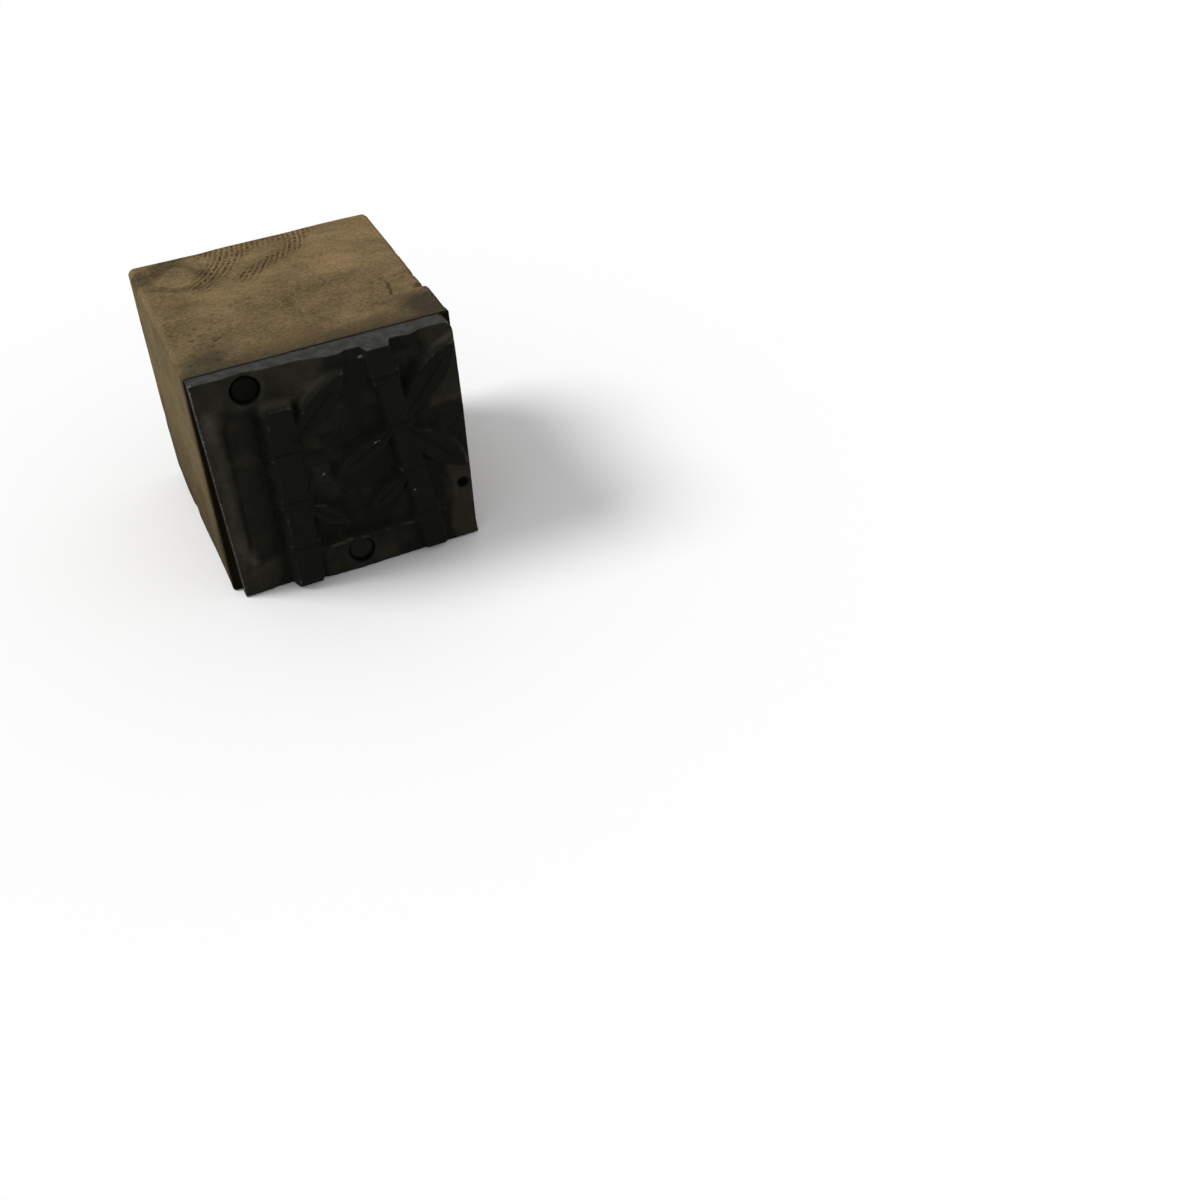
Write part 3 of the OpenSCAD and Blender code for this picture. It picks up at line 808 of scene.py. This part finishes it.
# The raised design: a foot, a head and a width for each stalk, and leaves that start at its joints
stalks = {
    "upright": {"foot": (-4.75, -1.0), "head": (-4.75, 18.3), "width": 2.1, "start": 1.0},
    "leaning": {"foot": (7.12, -2.0), "head": (3.68, 23.5), "width": 1.8, "start": 2.0},
}
growth = {
    "firstJoint": 4.5,
    "jointPitch": 4.8,
    "ringLength": 1.0,
    "ringOut": 0.2,
    "grooveWidth": 0.3,
    "grooveDepth": 0.22,
    "midribWidth": 0.2,
    "midribShare": 0.8,
    "groundLine": 3.8,
    "groundLineWidth": 0.35,
}
# Stalk, number of its joint, direction in degrees, length and greatest width
leaves = [
    ("upright", 2, 47, 7.2, 2.2),
    ("upright", 1, -42, 4.4, 1.5),
    ("leaning", 2, 210, 6.2, 2.0),
    ("leaning", 1, 214, 4.4, 1.5),
    ("leaning", 2, 50, 7.4, 2.5),
    ("leaning", 2, -48, 7.2, 2.3),
]

# Paler parts of the ground: low and high corner, softness, strength
paleGround = [
    ((-6.2, 17.8), (-0.3, 21.6), 0.9, 0.9), ((-11.0, 18.4), (-6.0, 21.6), 0.8, 0.6),
    ((8.0, 14.2), (10.9, 21.6), 0.8, 0.85), ((8.8, 0.0), (10.9, 8.2), 0.6, 0.95),
    ((-11.0, 0.0), (-7.2, 2.9), 0.9, 0.75), ((-3.2, 0.0), (3.5, 2.9), 0.8, 0.45),
    ((-11.0, 2.0), (-9.6, 19.0), 0.5, 0.65), ((-3.2, 13.4), (-2.0, 15.4), 0.5, 0.5),
    ((-2.9, 9.6), (-1.4, 11.6), 0.5, 0.5),
]

# How high the ground stands along the top edge: across, height
groundAtTop = [
    (-11.0, 0.02), (-8.2, 0.06), (-6.8, -0.12), (-5.2, 0.1), (-2.0, 0.3), (0.2, 0.78), (0.9, 0.85),
    (1.5, 0.5), (2.6, 0.55), (6.0, 0.5), (7.0, 0.72), (7.8, 0.35), (10.8, 0.3),
]


# Small bright spots on the face: across, up and size
plateGlints = [
    (2.65, 20.6, 0.09), (2.6, 12.9, 0.06), (2.95, 12.85, 0.04), (-1.95, 10.6, 0.06), (5.35, 7.1, 0.04),
]


def stalkDirection(stalk):
    run = np.subtract(stalk["head"], stalk["foot"])
    return run / np.linalg.norm(run), np.linalg.norm(run)


# Distance outside a bar's face, and the place along it and across it
def fromBar(x, z, start, direction, length, width):
    along = (x - start[0]) * direction[0] + (z - start[1]) * direction[1]
    across = (x - start[0]) * direction[1] - (z - start[1]) * direction[0]
    return np.maximum.reduce([np.abs(across) - width / 2, -along, along - length]), along, across


def fromLeaf(x, z, start, angle, length, width):
    direction = (math.cos(math.radians(angle)), math.sin(math.radians(angle)))
    radius = (length**2 + width**2) / (4 * width)
    along = (x - start[0]) * direction[0] + (z - start[1]) * direction[1]
    across = (x - start[0]) * direction[1] - (z - start[1]) * direction[0]
    offset = radius - width / 2
    left = np.hypot(along - length / 2, across + offset) - radius
    right = np.hypot(along - length / 2, across - offset) - radius
    return np.maximum(left, right), along, across


# Height of the raised design above the routed floor, and the depth of its grooves
def raisedDesign(x, z):
    slope = plateShape["shoulder"]
    distance = np.full(x.shape, 9.0)
    grooves = np.zeros(x.shape)
    joints = {}
    for name, stalk in stalks.items():
        direction, length = stalkDirection(stalk)
        body, along, across = fromBar(x, z, stalk["foot"], direction, length, stalk["width"])
        distance = np.minimum(distance, body)
        first = growth["firstJoint"] + stalk["start"]
        reach = length - stalk["start"] * (2 if name == "leaning" else 1)
        marks = np.arange(first, reach + stalk["start"] - 1, growth["jointPitch"])
        joints[name] = [np.add(stalk["foot"], direction * mark) for mark in marks]
        for mark in marks:
            start = np.add(stalk["foot"], direction * (mark - growth["ringLength"] / 2))
            width = stalk["width"] + 2 * growth["ringOut"]
            ring, _, _ = fromBar(x, z, start, direction, growth["ringLength"], width)
            distance = np.minimum(distance, ring)
            half = growth["grooveWidth"] / 2
            cut = 1 - smooth(np.abs(along - mark), half * 0.6, half * 1.5)
            grooves = np.maximum(grooves, cut * (np.abs(across) < stalk["width"] / 2 + slope))
    for name, number, angle, length, width in leaves:
        stalk = stalks[name]
        out = (math.cos(math.radians(angle)), math.sin(math.radians(angle)))
        start = np.add(joints[name][number], np.multiply(out, stalk["width"] / 2))
        leaf, along, across = fromLeaf(x, z, start, angle, length, width)
        distance = np.minimum(distance, leaf)
        half = growth["midribWidth"] / 2
        rib = (1 - smooth(np.abs(across), half * 0.6, half * 1.6)) * (along > 0)
        ribEnd = length * growth["midribShare"]
        rib = rib * (1 - smooth(along, ribEnd * 0.9, ribEnd))
        grooves = np.maximum(grooves, rib * (leaf < 0.1))
    start = (stalks["upright"]["foot"][0], growth["groundLine"])
    line, _, _ = fromBar(x, z, start, (1.0, 0.0), 11.1, growth["groundLineWidth"])
    distance = np.minimum(distance, line)
    raised = plateShape["relief"] * np.clip(1 - distance / slope, 0, 1)
    return raised, growth["grooveDepth"] * grooves * (raised > 0.8 * plateShape["relief"])


# The ground between the raised parts: routed floor at the left and top left, a higher bench elsewhere
def groundHeight(x, z):
    edgeX = stalks["upright"]["foot"][0] + stalks["upright"]["width"] / 2
    step = edgeX + np.interp(z, [0, 18.3, 19.5, 21.5], [0, 0, 1.7, 2.6])
    ground = plateShape["bench"] * smooth(x - step, -0.25, 0.35)
    above = [place for place, _ in groundAtTop]
    level = np.interp(x, above, [height for _, height in groundAtTop])
    nearTop = smooth(z, plateHigh[2] - 2.2, plateHigh[2] - 0.3)
    return ground * (1 - nearTop) + level * nearTop


def fromSlot(x, z):
    half = plateShape["routerWidth"] / 2
    up = np.clip(z, plateShape["routerLow"] + half, plateShape["routerHigh"] - half)
    return np.hypot(x - plateShape["routerAcross"], z - up) - half


def plateEdges(z):
    lift = (z - plateLow[2]) / (plateHigh[2] - plateLow[2])
    left = plateLow[0] + plateShape["leftLean"] * (1 - lift)
    rise = np.clip((z - plateShape["bend"]) / (plateHigh[2] - plateShape["bend"]), 0, 1)
    right = plateHigh[0] - plateShape["rightLean"] * rise
    radius = plateShape["cornerRadius"]
    over = np.clip(z - (plateHigh[2] - radius), 0, radius)
    return left, right - (radius - np.sqrt(radius**2 - over**2))


def blur(sheet, times):
    for _ in range(times):
        padded = np.pad(sheet, 1, mode="edge")
        beside = padded[:-2, 1:-1] + padded[2:, 1:-1] + padded[1:-1, :-2] + padded[1:-1, 2:]
        sheet = (beside + 4 * sheet) / 8
    return sheet


def plateHeights(x, z):
    raised, grooves = raisedDesign(x, z)
    flat = np.stack([x.ravel(), np.zeros(x.size), z.ravel()], axis=1)
    waver = softNoise(flat, 2.3, 41).reshape(x.shape)
    rough = softNoise(flat, 0.35, 42).reshape(x.shape)
    ground = groundHeight(x, z) + plateShape["floorWaver"] * waver + 0.022 * rough
    slot = fromSlot(x + 0.05 * waver, z)
    ground -= plateShape["routerDepth"] * (1 - smooth(slot, -0.25, 0.12))
    ground += 0.05 * np.exp(-(((slot - 0.2) / 0.12) ** 2))  # the lip that the cutter threw up
    low = 1 - smooth(z - plateLow[2], 0.0, plateShape["endLength"])
    ground += plateShape["lowRise"] * low * smooth(x, -4.5, -2.5)
    design = raised - grooves + 0.006 * rough - plateShape["endDrop"] * low**2
    height = np.maximum(ground, np.where(raised > 0.01, design, -9.0))
    for nail in nails.values():
        rim = np.hypot(x - nail["across"], z - nail["up"]) - nail["recess"]
        height = height - 0.12 * np.exp(-((rim / 0.14) ** 2))
    return blur(height, 2), raised, slot


def makePlate():
    focusUp = [(plateLow[2], 0.12, 2.0), (plateHigh[2], 0.15, 3.0)]
    up = stops(plateLow[2], plateHigh[2], plateShape["stopsUp"], focusUp)
    share = stops(0.0, 1.0, plateShape["stopsAcross"], [(0.0, 0.006, 2.0), (1.0, 0.006, 2.0)])
    left, right = plateEdges(up)
    x = left[None, :] + share[:, None] * (right - left)[None, :]
    z = np.repeat(up[None, :], len(share), axis=0)
    height, raised, slot = plateHeights(x, z)
    inset = np.minimum.reduce([x - left, right - x, z - plateLow[2], plateHigh[2] - z])
    height -= plateShape["arris"] * (1 - smooth(inset, 0.0, plateShape["arris"] * 1.6))
    frontY = woodLow[1] - plateShape["thickness"] - np.minimum(height, plateShape["relief"])
    points = [np.stack([x, frontY, z], axis=-1).reshape(-1, 3)]
    rows, columns = x.shape
    index = np.arange(rows * columns).reshape(rows, columns)
    a, b, c, d = index[:-1, :-1], index[1:, :-1], index[1:, 1:], index[:-1, 1:]
    faces = [np.stack([part.ravel() for part in (a, b, c, d)], axis=1)]
    rim = np.concatenate([index[:-1, 0], index[-1, :-1], index[:0:-1, -1], index[0, :0:-1]])
    start = points[0][rim]
    upper = rim
    total = rows * columns
    for row in range(1, plateShape["sideRows"] + 1):
        part = row / plateShape["sideRows"]
        ring = start.copy()
        ring[:, 1] += (woodLow[1] - start[:, 1]) * part
        scuff = 0.03 * (1 + softNoise(ring, 0.6, 43)) / 2 * (0 < part < 1)
        towards = ((plateLow + plateHigh) / 2 - ring) * [1, 0, 1]
        towards[np.abs(ring[:, 0] - plateLow[0]) < 0.7, 2] = 0
        ring += scuff[:, None] * towards / np.linalg.norm(towards, axis=1)[:, None]
        points.append(ring)
        lower = np.arange(total, total + len(rim))
        faces.append(np.stack([upper, lower, np.roll(lower, -1), np.roll(upper, -1)], axis=1))
        upper = lower
        total += len(rim)
    points = np.clip(np.concatenate(points), plateLow, plateHigh)
    faces = np.concatenate(faces).tolist() + [upper[::-1].tolist()]
    piece = newPiece("castPlate", (points * mm).tolist(), faces, [inkedMaterial, sawnMaterial])
    for name, nail in nails.items():
        near = plateLow[1] - 0.5
        if name == "edge_pin":
            cuts = [(nailShape["pinRadius"] + 0.06, nail["front"] + 0.06)]
            shank = nailShape["pinRadius"] + nailShape["shankGap"]
        else:
            cuts = [(nail["recess"], nail["front"] + nailShape["headThickness"])]
            shank = nailShape["shankRadius"] + nailShape["shankGap"]
        for radius, far in [*cuts, (shank, woodLow[1] + 0.5)]:
            cutOut(piece, drill(nail["across"], nail["up"], radius, near, far, 0.0, 48))
    soften(piece, 62)
    paintPlate(piece, share, up, height)
    return piece


# Values of a sheet on the plate's own stops, at any places
def onSheet(sheet, share, up, x, z):
    left, right = plateEdges(np.clip(z, plateLow[2], plateHigh[2]))
    column = np.interp((x - left) / (right - left), share, np.arange(len(share)))
    row = np.interp(z, up, np.arange(len(up)))
    i = np.minimum(column.astype(int), len(share) - 2)
    j = np.minimum(row.astype(int), len(up) - 2)
    a, b = column - i, row - j
    low = sheet[i, j] * (1 - a) + sheet[i + 1, j] * a
    high = sheet[i, j + 1] * (1 - a) + sheet[i + 1, j + 1] * a
    return low * (1 - b) + high * b


def paintPlate(piece, share, up, height):
    points = places(piece)
    x, y, z = points.T
    left, right = plateEdges(np.clip(z, plateLow[2], plateHigh[2]))
    inset = np.minimum.reduce([x - left, right - x, z - plateLow[2], plateHigh[2] - z])
    wander = softNoise(points, 1.5, 51)
    wander2 = softNoise(points, 0.6, 52)
    level = onSheet(height, share, up, x, z)
    relative = level - onSheet(blur(height, 40), share, up, x, z)
    frontY = woodLow[1] - plateShape["thickness"] - np.minimum(level, plateShape["relief"])
    onFront = np.abs(y - frontY) < 0.12
    raised = smooth(level, 0.85, 1.25)
    pale = np.zeros(len(points))
    for low, high, soft, strength in paleGround:
        outside = np.maximum.reduce([low[0] - x, x - high[0], low[1] - z, z - high[1]]) + 0.4 * wander
        pale = np.maximum(pale, strength * (1 - smooth(outside, -soft / 2, soft / 2)))
    slot = fromSlot(x, z)
    bare = pale + 0.3 * (1 - smooth(slot, -0.5, 0.1))
    paint(piece, "inked", np.maximum(raised, 0.94 - bare + 0.1 * wander2))
    # Painted shade: a dark line beside the upright bar's left shoulder, darker low places, the walls of the
    # nail recesses, the sides next to the wood and the left side
    beside = np.exp(-(((x + 6.45) / 0.5) ** 2)) * smooth(z, 3.0, 4.0) * (1 - smooth(z, 17.0, 18.2))
    hollow = 0.8 * beside + 0.6 * smooth(-relative, 0.08, 0.35)
    rims = [np.hypot(x - nail["across"], z - nail["up"]) - nail["recess"] for nail in nails.values()]
    for rim in rims:
        hollow = np.maximum(hollow, 1 - smooth(rim, 0.0, 0.1))
    hollow = np.where(inset < 0.02, 0.85 * smooth(y, woodLow[1] - 0.2, woodLow[1] - 0.06), hollow)
    hollow = np.where((x - left < 0.06) & ~onFront, 0.9, hollow)
    paint(piece, "hollow", hollow)
    band = np.exp(-(((x - left - 0.95 - 0.35 * wander) / 0.55) ** 2))
    band *= smooth(z, 1.6, 4.5) * (1 - smooth(z, 18, 20))
    lobes = np.exp(-(((x + 10.0) / 0.5) ** 2 + ((z - 17.9) / 0.8) ** 2))
    lobes += np.exp(-(((x + 9.0) / 0.35) ** 2 + ((z - 3.6) / 0.9) ** 2))
    dusty = (0.4 * band + 0.6 * lobes + 0.12 * smooth(wander, 0.1, 0.8)) * (1 - raised)
    for rim in rims:
        dusty += 0.15 * np.exp(-(((rim - 0.2) / 0.15) ** 2)) * smooth(wander2, -0.2, 0.6)
    paint(piece, "dusty", dusty)
    paint(piece, "pinkish", 0.6 * smooth(x + wander, 8.0, 9.6) * (1 - smooth(z + 1.2 * wander, 5.5, 9.0)))
    arris = np.exp(-((inset / 0.06) ** 2)) * onFront
    sideWeight = np.where(x - left < 0.25, 1.0, np.where(plateHigh[2] - z < 0.25, 0.3, 0.4))
    edge = np.maximum(smooth(relative, 0.08, 0.3) * (level > 0.9) * 0.52 * onFront, arris * sideWeight)
    paint(piece, "edge", edge + 0.1 * wander2 * (edge > 0.2))
    glint = np.zeros(len(points))
    for across, high, size in plateGlints:
        near = ((x - across) / 1.6) ** 2 + (z - high) ** 2
        glint = np.maximum(glint, np.exp(-near / size**2))
    paint(piece, "glint", glint * onFront * (inset > 0.05))
    centres = np.empty(len(piece.data.polygons) * 3)
    normals = np.empty(len(piece.data.polygons) * 3)
    piece.data.polygons.foreach_get("center", centres)
    piece.data.polygons.foreach_get("normal", normals)
    cx, _, cz = centres.reshape(-1, 3).T / mm
    leftAt, rightAt = plateEdges(np.clip(cz, plateLow[2], plateHigh[2]))
    centreInset = np.minimum.reduce([cx - leftAt, rightAt - cx, cz - plateLow[2], plateHigh[2] - cz])
    sawn = (centreInset < 0.045) & (normals.reshape(-1, 3)[:, 1] > -0.75)
    piece.data.polygons.foreach_set("material_index", sawn.astype(np.int32))


castPlate = makePlate()
print("plate made,", len(castPlate.data.polygons), "faces")


# Geometry Nodes: a tree with named inputs that is run on a start mesh and leaves a plain one
def newTree(name, inputs):
    tree = bpy.data.node_groups.new(name, "GeometryNodeTree")
    tree.interface.new_socket(name="Start", in_out="INPUT", socket_type="NodeSocketGeometry")
    for label, kind in inputs:
        tree.interface.new_socket(name=label, in_out="INPUT", socket_type=kind)
    tree.interface.new_socket(name="Finish", in_out="INPUT", socket_type="NodeSocketMaterial")
    tree.interface.new_socket(name="Result", in_out="OUTPUT", socket_type="NodeSocketGeometry")
    return tree, tree.nodes.new("NodeGroupInput").outputs, tree.nodes.new("NodeGroupOutput")


def endTree(tree, given, end, geometry):
    whole = node(tree, "GeometryNodeRealizeInstances", {"Geometry": geometry}).outputs["Geometry"]
    finish = {"Geometry": whole, "Material": given["Finish"]}
    finished = node(tree, "GeometryNodeSetMaterial", finish).outputs["Geometry"]
    tree.links.new(finished, end.inputs["Result"])


def moved(tree, geometry, socket, value):
    values = {"Geometry": geometry, socket: value}
    return node(tree, "GeometryNodeSetPosition", values).outputs["Geometry"]


def runTree(name, tree, values, points):
    mesh = bpy.data.meshes.new(name)
    mesh.from_pydata(points, [], [])
    piece = bpy.data.objects.new(name, mesh)
    bpy.context.scene.collection.objects.link(piece)
    change = piece.modifiers.new("nodes", "NODES")
    change.node_group = tree
    for item in tree.interface.items_tree:
        if item.in_out == "INPUT" and item.name in values:
            change[item.identifier] = values[item.name]
    bpy.context.view_layer.update()
    result = bpy.data.meshes.new_from_object(piece.evaluated_get(bpy.context.evaluated_depsgraph_get()))
    piece.modifiers.remove(change)
    piece.data = result
    bpy.data.meshes.remove(mesh)
    body = bmesh.new()
    body.from_mesh(result)
    bmesh.ops.recalc_face_normals(body, faces=body.faces)
    body.to_mesh(result)
    body.free()
    return piece


def vectorMaths(tree, operation, first, second):
    values = {0: first, ("Scale" if operation == "SCALE" else 1): second}
    return node(tree, "ShaderNodeVectorMath", values, operation=operation).outputs["Vector"]


# Turns a profile, whose points hold a radius and a depth, about an axis along Y
def makeTurnedTree():
    inputs = [("Sides", "NodeSocketInt"), ("Middle", "NodeSocketVector"), ("Dents", "NodeSocketFloat")]
    tree, given, end = newTree("turnedAlongY", inputs)
    size = node(tree, "GeometryNodeAttributeDomainSize", {"Geometry": given["Start"]}, component="MESH")
    count = size.outputs["Point Count"]
    rows = maths(tree, "SUBTRACT", count, 1.0)
    lattice = {
        "Size X": given["Sides"],
        "Size Y": rows,
        "Vertices X": maths(tree, "ADD", given["Sides"], 1.0),
        "Vertices Y": count,
    }
    sheet = node(tree, "GeometryNodeMeshGrid", lattice).outputs["Mesh"]
    place = node(tree, "GeometryNodeInputPosition").outputs["Position"]
    parts = node(tree, "ShaderNodeSeparateXYZ", {0: place}).outputs
    side = maths(tree, "ADD", parts["X"], maths(tree, "DIVIDE", given["Sides"], 2.0))
    row = maths(tree, "ROUND", maths(tree, "ADD", parts["Y"], maths(tree, "DIVIDE", rows, 2.0)))
    angle = times(tree, maths(tree, "DIVIDE", side, given["Sides"]), 2 * math.pi)
    sample = {"Geometry": given["Start"], "Value": place, "Index": row}
    found = node(tree, "GeometryNodeSampleIndex", sample, data_type="FLOAT_VECTOR", domain="POINT")
    profile = node(tree, "ShaderNodeSeparateXYZ", {0: found.outputs["Value"]}).outputs
    across = times(tree, profile["X"], maths(tree, "COSINE", angle))
    up = times(tree, profile["X"], maths(tree, "SINE", angle))
    turned = node(tree, "ShaderNodeCombineXYZ", {"X": across, "Y": profile["Y"], "Z": up})
    turned = vectorMaths(tree, "ADD", turned.outputs["Vector"], given["Middle"])
    sheet = moved(tree, sheet, "Position", turned)
    closed = node(tree, "GeometryNodeMergeByDistance", {"Geometry": sheet, "Distance": 0.002 * mm})
    rough = node(tree, "ShaderNodeTexNoise", {"Vector": place, "Scale": 1.4 / mm, "Detail": 2.0})
    swing = vectorMaths(tree, "SUBTRACT", rough.outputs["Color"], (0.5, 0.5, 0.5))
    dent = vectorMaths(tree, "SCALE", swing, given["Dents"])
    endTree(tree, given, end, moved(tree, closed.outputs["Geometry"], "Offset", dent))
    return tree


# Small bits near a line, each with its own turn and size
def makeScatterTree():
    inputs = [
        ("From", "NodeSocketVector"),
        ("To", "NodeSocketVector"),
        ("Count", "NodeSocketInt"),
        ("Jitter", "NodeSocketVector"),
        ("Smallest", "NodeSocketVector"),
        ("Largest", "NodeSocketVector"),
        ("Tilt", "NodeSocketVector"),
        ("Seed", "NodeSocketInt"),
    ]
    tree, given, end = newTree("scatteredBits", inputs)
    line = {"Count": given["Count"], "Start Location": given["From"], "Offset": given["To"]}
    points = node(tree, "GeometryNodeMeshLine", line, mode="END_POINTS", count_mode="TOTAL")

    def between(low, high, shift):
        seed = maths(tree, "ADD", given["Seed"], shift)
        values = {0: low, 1: high, "Seed": seed}
        return node(tree, "FunctionNodeRandomValue", values, data_type="FLOAT_VECTOR").outputs[0]

    away = between(vectorMaths(tree, "SCALE", given["Jitter"], -1.0), given["Jitter"], 0.0)
    points = moved(tree, points.outputs["Mesh"], "Offset", away)
    turn = between(vectorMaths(tree, "SCALE", given["Tilt"], -1.0), given["Tilt"], 100.0)
    bit = node(tree, "GeometryNodeMeshIcoSphere", {"Radius": 1.0, "Subdivisions": 1}).outputs["Mesh"]
    placed = {
        "Points": points,
        "Instance": bit,
        "Rotation": node(tree, "FunctionNodeEulerToRotation", {0: turn}).outputs["Rotation"],
        "Scale": between(given["Smallest"], given["Largest"], 200.0),
    }
    endTree(tree, given, end, node(tree, "GeometryNodeInstanceOnPoints", placed).outputs["Instances"])
    return tree


nailDetail = {
    "sides": 48,
    "dents": 0.035,
    "chamfer": 0.16,
    "grips": 5,  # shallow rings under the head
    "gripPitch": 0.36,
    "gripDepth": 0.035,
}


# Radius and depth from the middle of the nail's front to its tip
def nailProfile(nail, radius, headed):
    front, tip, edge = nail["front"], nail["tip"], nailDetail["chamfer"]
    if headed:
        head = nail["radius"]
        under = front + nailShape["headThickness"]
        points = [(0.0, front + 0.05), (head * 0.45, front + 0.03), (head - edge - 0.1, front + 0.02)]
        points += [(head - edge * 0.5, front + edge * 0.4), (head - 0.02, front + edge)]
        points += [(head - 0.02, under - 0.08), (head - 0.08, under - 0.02)]
        points += [(radius + 0.06, under - 0.02), (radius - 0.01, under + 0.06)]
    else:
        under = front
        points = [(0.0, front + 0.02), (radius * 0.6, front + 0.02)]
        points += [(radius * 0.9, front + 0.05), (radius - 0.01, front + 0.12)]
    depth = under + 0.6
    for _ in range(nailDetail["grips"] if headed else 0):
        points += [(radius - 0.01, depth), (radius - nailDetail["gripDepth"], depth + 0.06)]
        points += [(radius - nailDetail["gripDepth"], depth + 0.14), (radius - 0.01, depth + 0.2)]
        depth += nailDetail["gripPitch"]
    points += [(radius - 0.01, tip - nailShape["point"]), (radius * 0.55, tip - nailShape["point"] * 0.5)]
    points += [(radius * 0.12, tip - 0.12), (0.0, tip - 0.02)]
    return [(across * mm, along * mm, 0.0) for across, along in points]


turnedTree = makeTurnedTree()
pieceNames = {"top_nail": "topNail", "bottom_nail": "bottomNail", "edge_pin": "edgePin"}
nailPieces = {}
for name, nail in nails.items():
    headed = name != "edge_pin"
    radius = nailShape["shankRadius"] if headed else nailShape["pinRadius"]
    values = {
        "Sides": nailDetail["sides"],
        "Middle": (nail["across"] * mm, 0.0, nail["up"] * mm),
        "Dents": nailDetail["dents"] * mm if headed else 0.0,
        "Finish": nailMaterial,
    }
    nailPieces[name] = runTree(pieceNames[name], turnedTree, values, nailProfile(nail, radius, headed))
    soften(nailPieces[name], 40)
    front = 1 - smooth(places(nailPieces[name])[:, 1], nail["front"] + 0.05, nail["front"] + 0.14)
    paint(nailPieces[name], "rubbed", 0.75 * front * (name == "bottom_nail"))
print("nails made,", sum(len(piece.data.polygons) for piece in nailPieces.values()), "faces")

# Bits near a line: its ends, how many, how far they stray, smallest and largest half sizes, tilt in degrees
edgeX = plateLow[0] + plateShape["leftLean"]
floorFront = woodLow[1] - plateShape["thickness"]
bits = {
    "edgeBurrs": {
        "line": ((plateLow[0] + 0.03, floorFront, 21.1), (edgeX + 0.02, floorFront, 0.5)),
        "count": 46, "jitter": (0.01, 0.02, 0.25), "sizes": ((0.012, 0.012, 0.03), (0.03, 0.03, 0.1)),
        "tilt": 12, "seed": 3, "finish": brightMaterial, "slot": "type_metal",
    },
    "stripSpecks": {
        "line": ((-0.75, -8.86, 21.47), (0.0, -10.05, 21.47)),
        "count": 13, "jitter": (0.16, 0.16, 0.0), "sizes": ((0.012, 0.012, 0.012), (0.06, 0.04, 0.026)),
        "tilt": 5, "seed": 8, "finish": brightMaterial, "slot": "type_metal",
    },
    "tornFibres": {
        "line": ((10.66, -3.1, 21.2), (10.66, 3.4, 21.2)),
        "count": 22, "jitter": (0.04, 0.2, 0.04), "sizes": ((0.06, 0.03, 0.03), (0.12, 0.1, 0.06)),
        "tilt": 14, "seed": 5, "finish": woodMaterial, "slot": "wood",
    },
}


def inMetres(values):
    return tuple(value * mm for value in values)


scatterTree = makeScatterTree()
bitPieces = {}
for name, bit in bits.items():
    tilt = math.radians(bit["tilt"])
    values = {
        "From": inMetres(bit["line"][0]),
        "To": inMetres(bit["line"][1]),
        "Count": bit["count"],
        "Jitter": inMetres(bit["jitter"]),
        "Smallest": inMetres(bit["sizes"][0]),
        "Largest": inMetres(bit["sizes"][1]),
        "Tilt": (tilt, tilt, tilt),
        "Seed": bit["seed"],
        "Finish": bit["finish"],
    }
    bitPieces[name] = runTree(name, scatterTree, values, [(0.0, 0.0, 0.0)])
print("burrs, specks and fibres made")

pieces = {"wood_mount": woodBlock, "relief_plate": castPlate, **nailPieces}
for name, piece in pieces.items():
    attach(piece, "root")
    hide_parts(name)
for name, piece in bitPieces.items():
    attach(piece, "root")

# Floor, light and background
stageLook = {
    "floorSize": 3.0,  # metres
    "floorTone": 0.4,
    "ambient": 0.55,
    "sun": 1.85,
    "sunTurn": (0.0, -40.0, -19.0),  # degrees: it comes from the left, high and a little behind
    "sunSoftness": 24.0,
}


def seenByEye(tree):
    rays = node(tree, "ShaderNodeLightPath").outputs
    seen = maths(tree, "MAXIMUM", rays["Is Camera Ray"], rays["Is Glossy Ray"])
    return maths(tree, "MAXIMUM", seen, rays["Is Transmission Ray"])


def makeFloor():
    half = stageLook["floorSize"] / 2
    corners = [(-half, -half, 0), (half, -half, 0), (half, half, 0), (-half, half, 0)]
    material = bpy.data.materials.new("paleFloor")
    material.use_nodes = True
    tree = material.node_tree
    shader = tree.nodes["Principled BSDF"]
    shader.inputs["Roughness"].default_value = 0.9
    shader.inputs["Specular IOR Level"].default_value = 0.0
    tone = stageLook["floorTone"]
    base = mixColour(tree, seenByEye(tree), (tone, tone, tone, 1.0), (1.0, 1.0, 1.0, 1.0))
    tree.links.new(base, shader.inputs["Base Color"])
    floor = newPiece("paleFloor", corners, [(0, 1, 2, 3)], [material])


def makeLight():
    world = bpy.data.worlds.new("studio")
    bpy.context.scene.world = world
    world.use_nodes = True
    tree = world.node_tree
    background = tree.nodes["Background"]
    background.inputs["Color"].default_value = (1.0, 1.0, 1.0, 1.0)
    level = spread(tree, seenByEye(tree), 0.0, 1.0, stageLook["ambient"], 1.0)
    tree.links.new(level, background.inputs["Strength"])
    lamp = bpy.data.lights.new("window", "SUN")
    lamp.energy = stageLook["sun"]
    lamp.angle = math.radians(stageLook["sunSoftness"])
    window = bpy.data.objects.new("window", lamp)
    window.rotation_euler = [math.radians(angle) for angle in stageLook["sunTurn"]]
    bpy.context.scene.collection.objects.link(window)


makeFloor()
makeLight()
print("stage set")
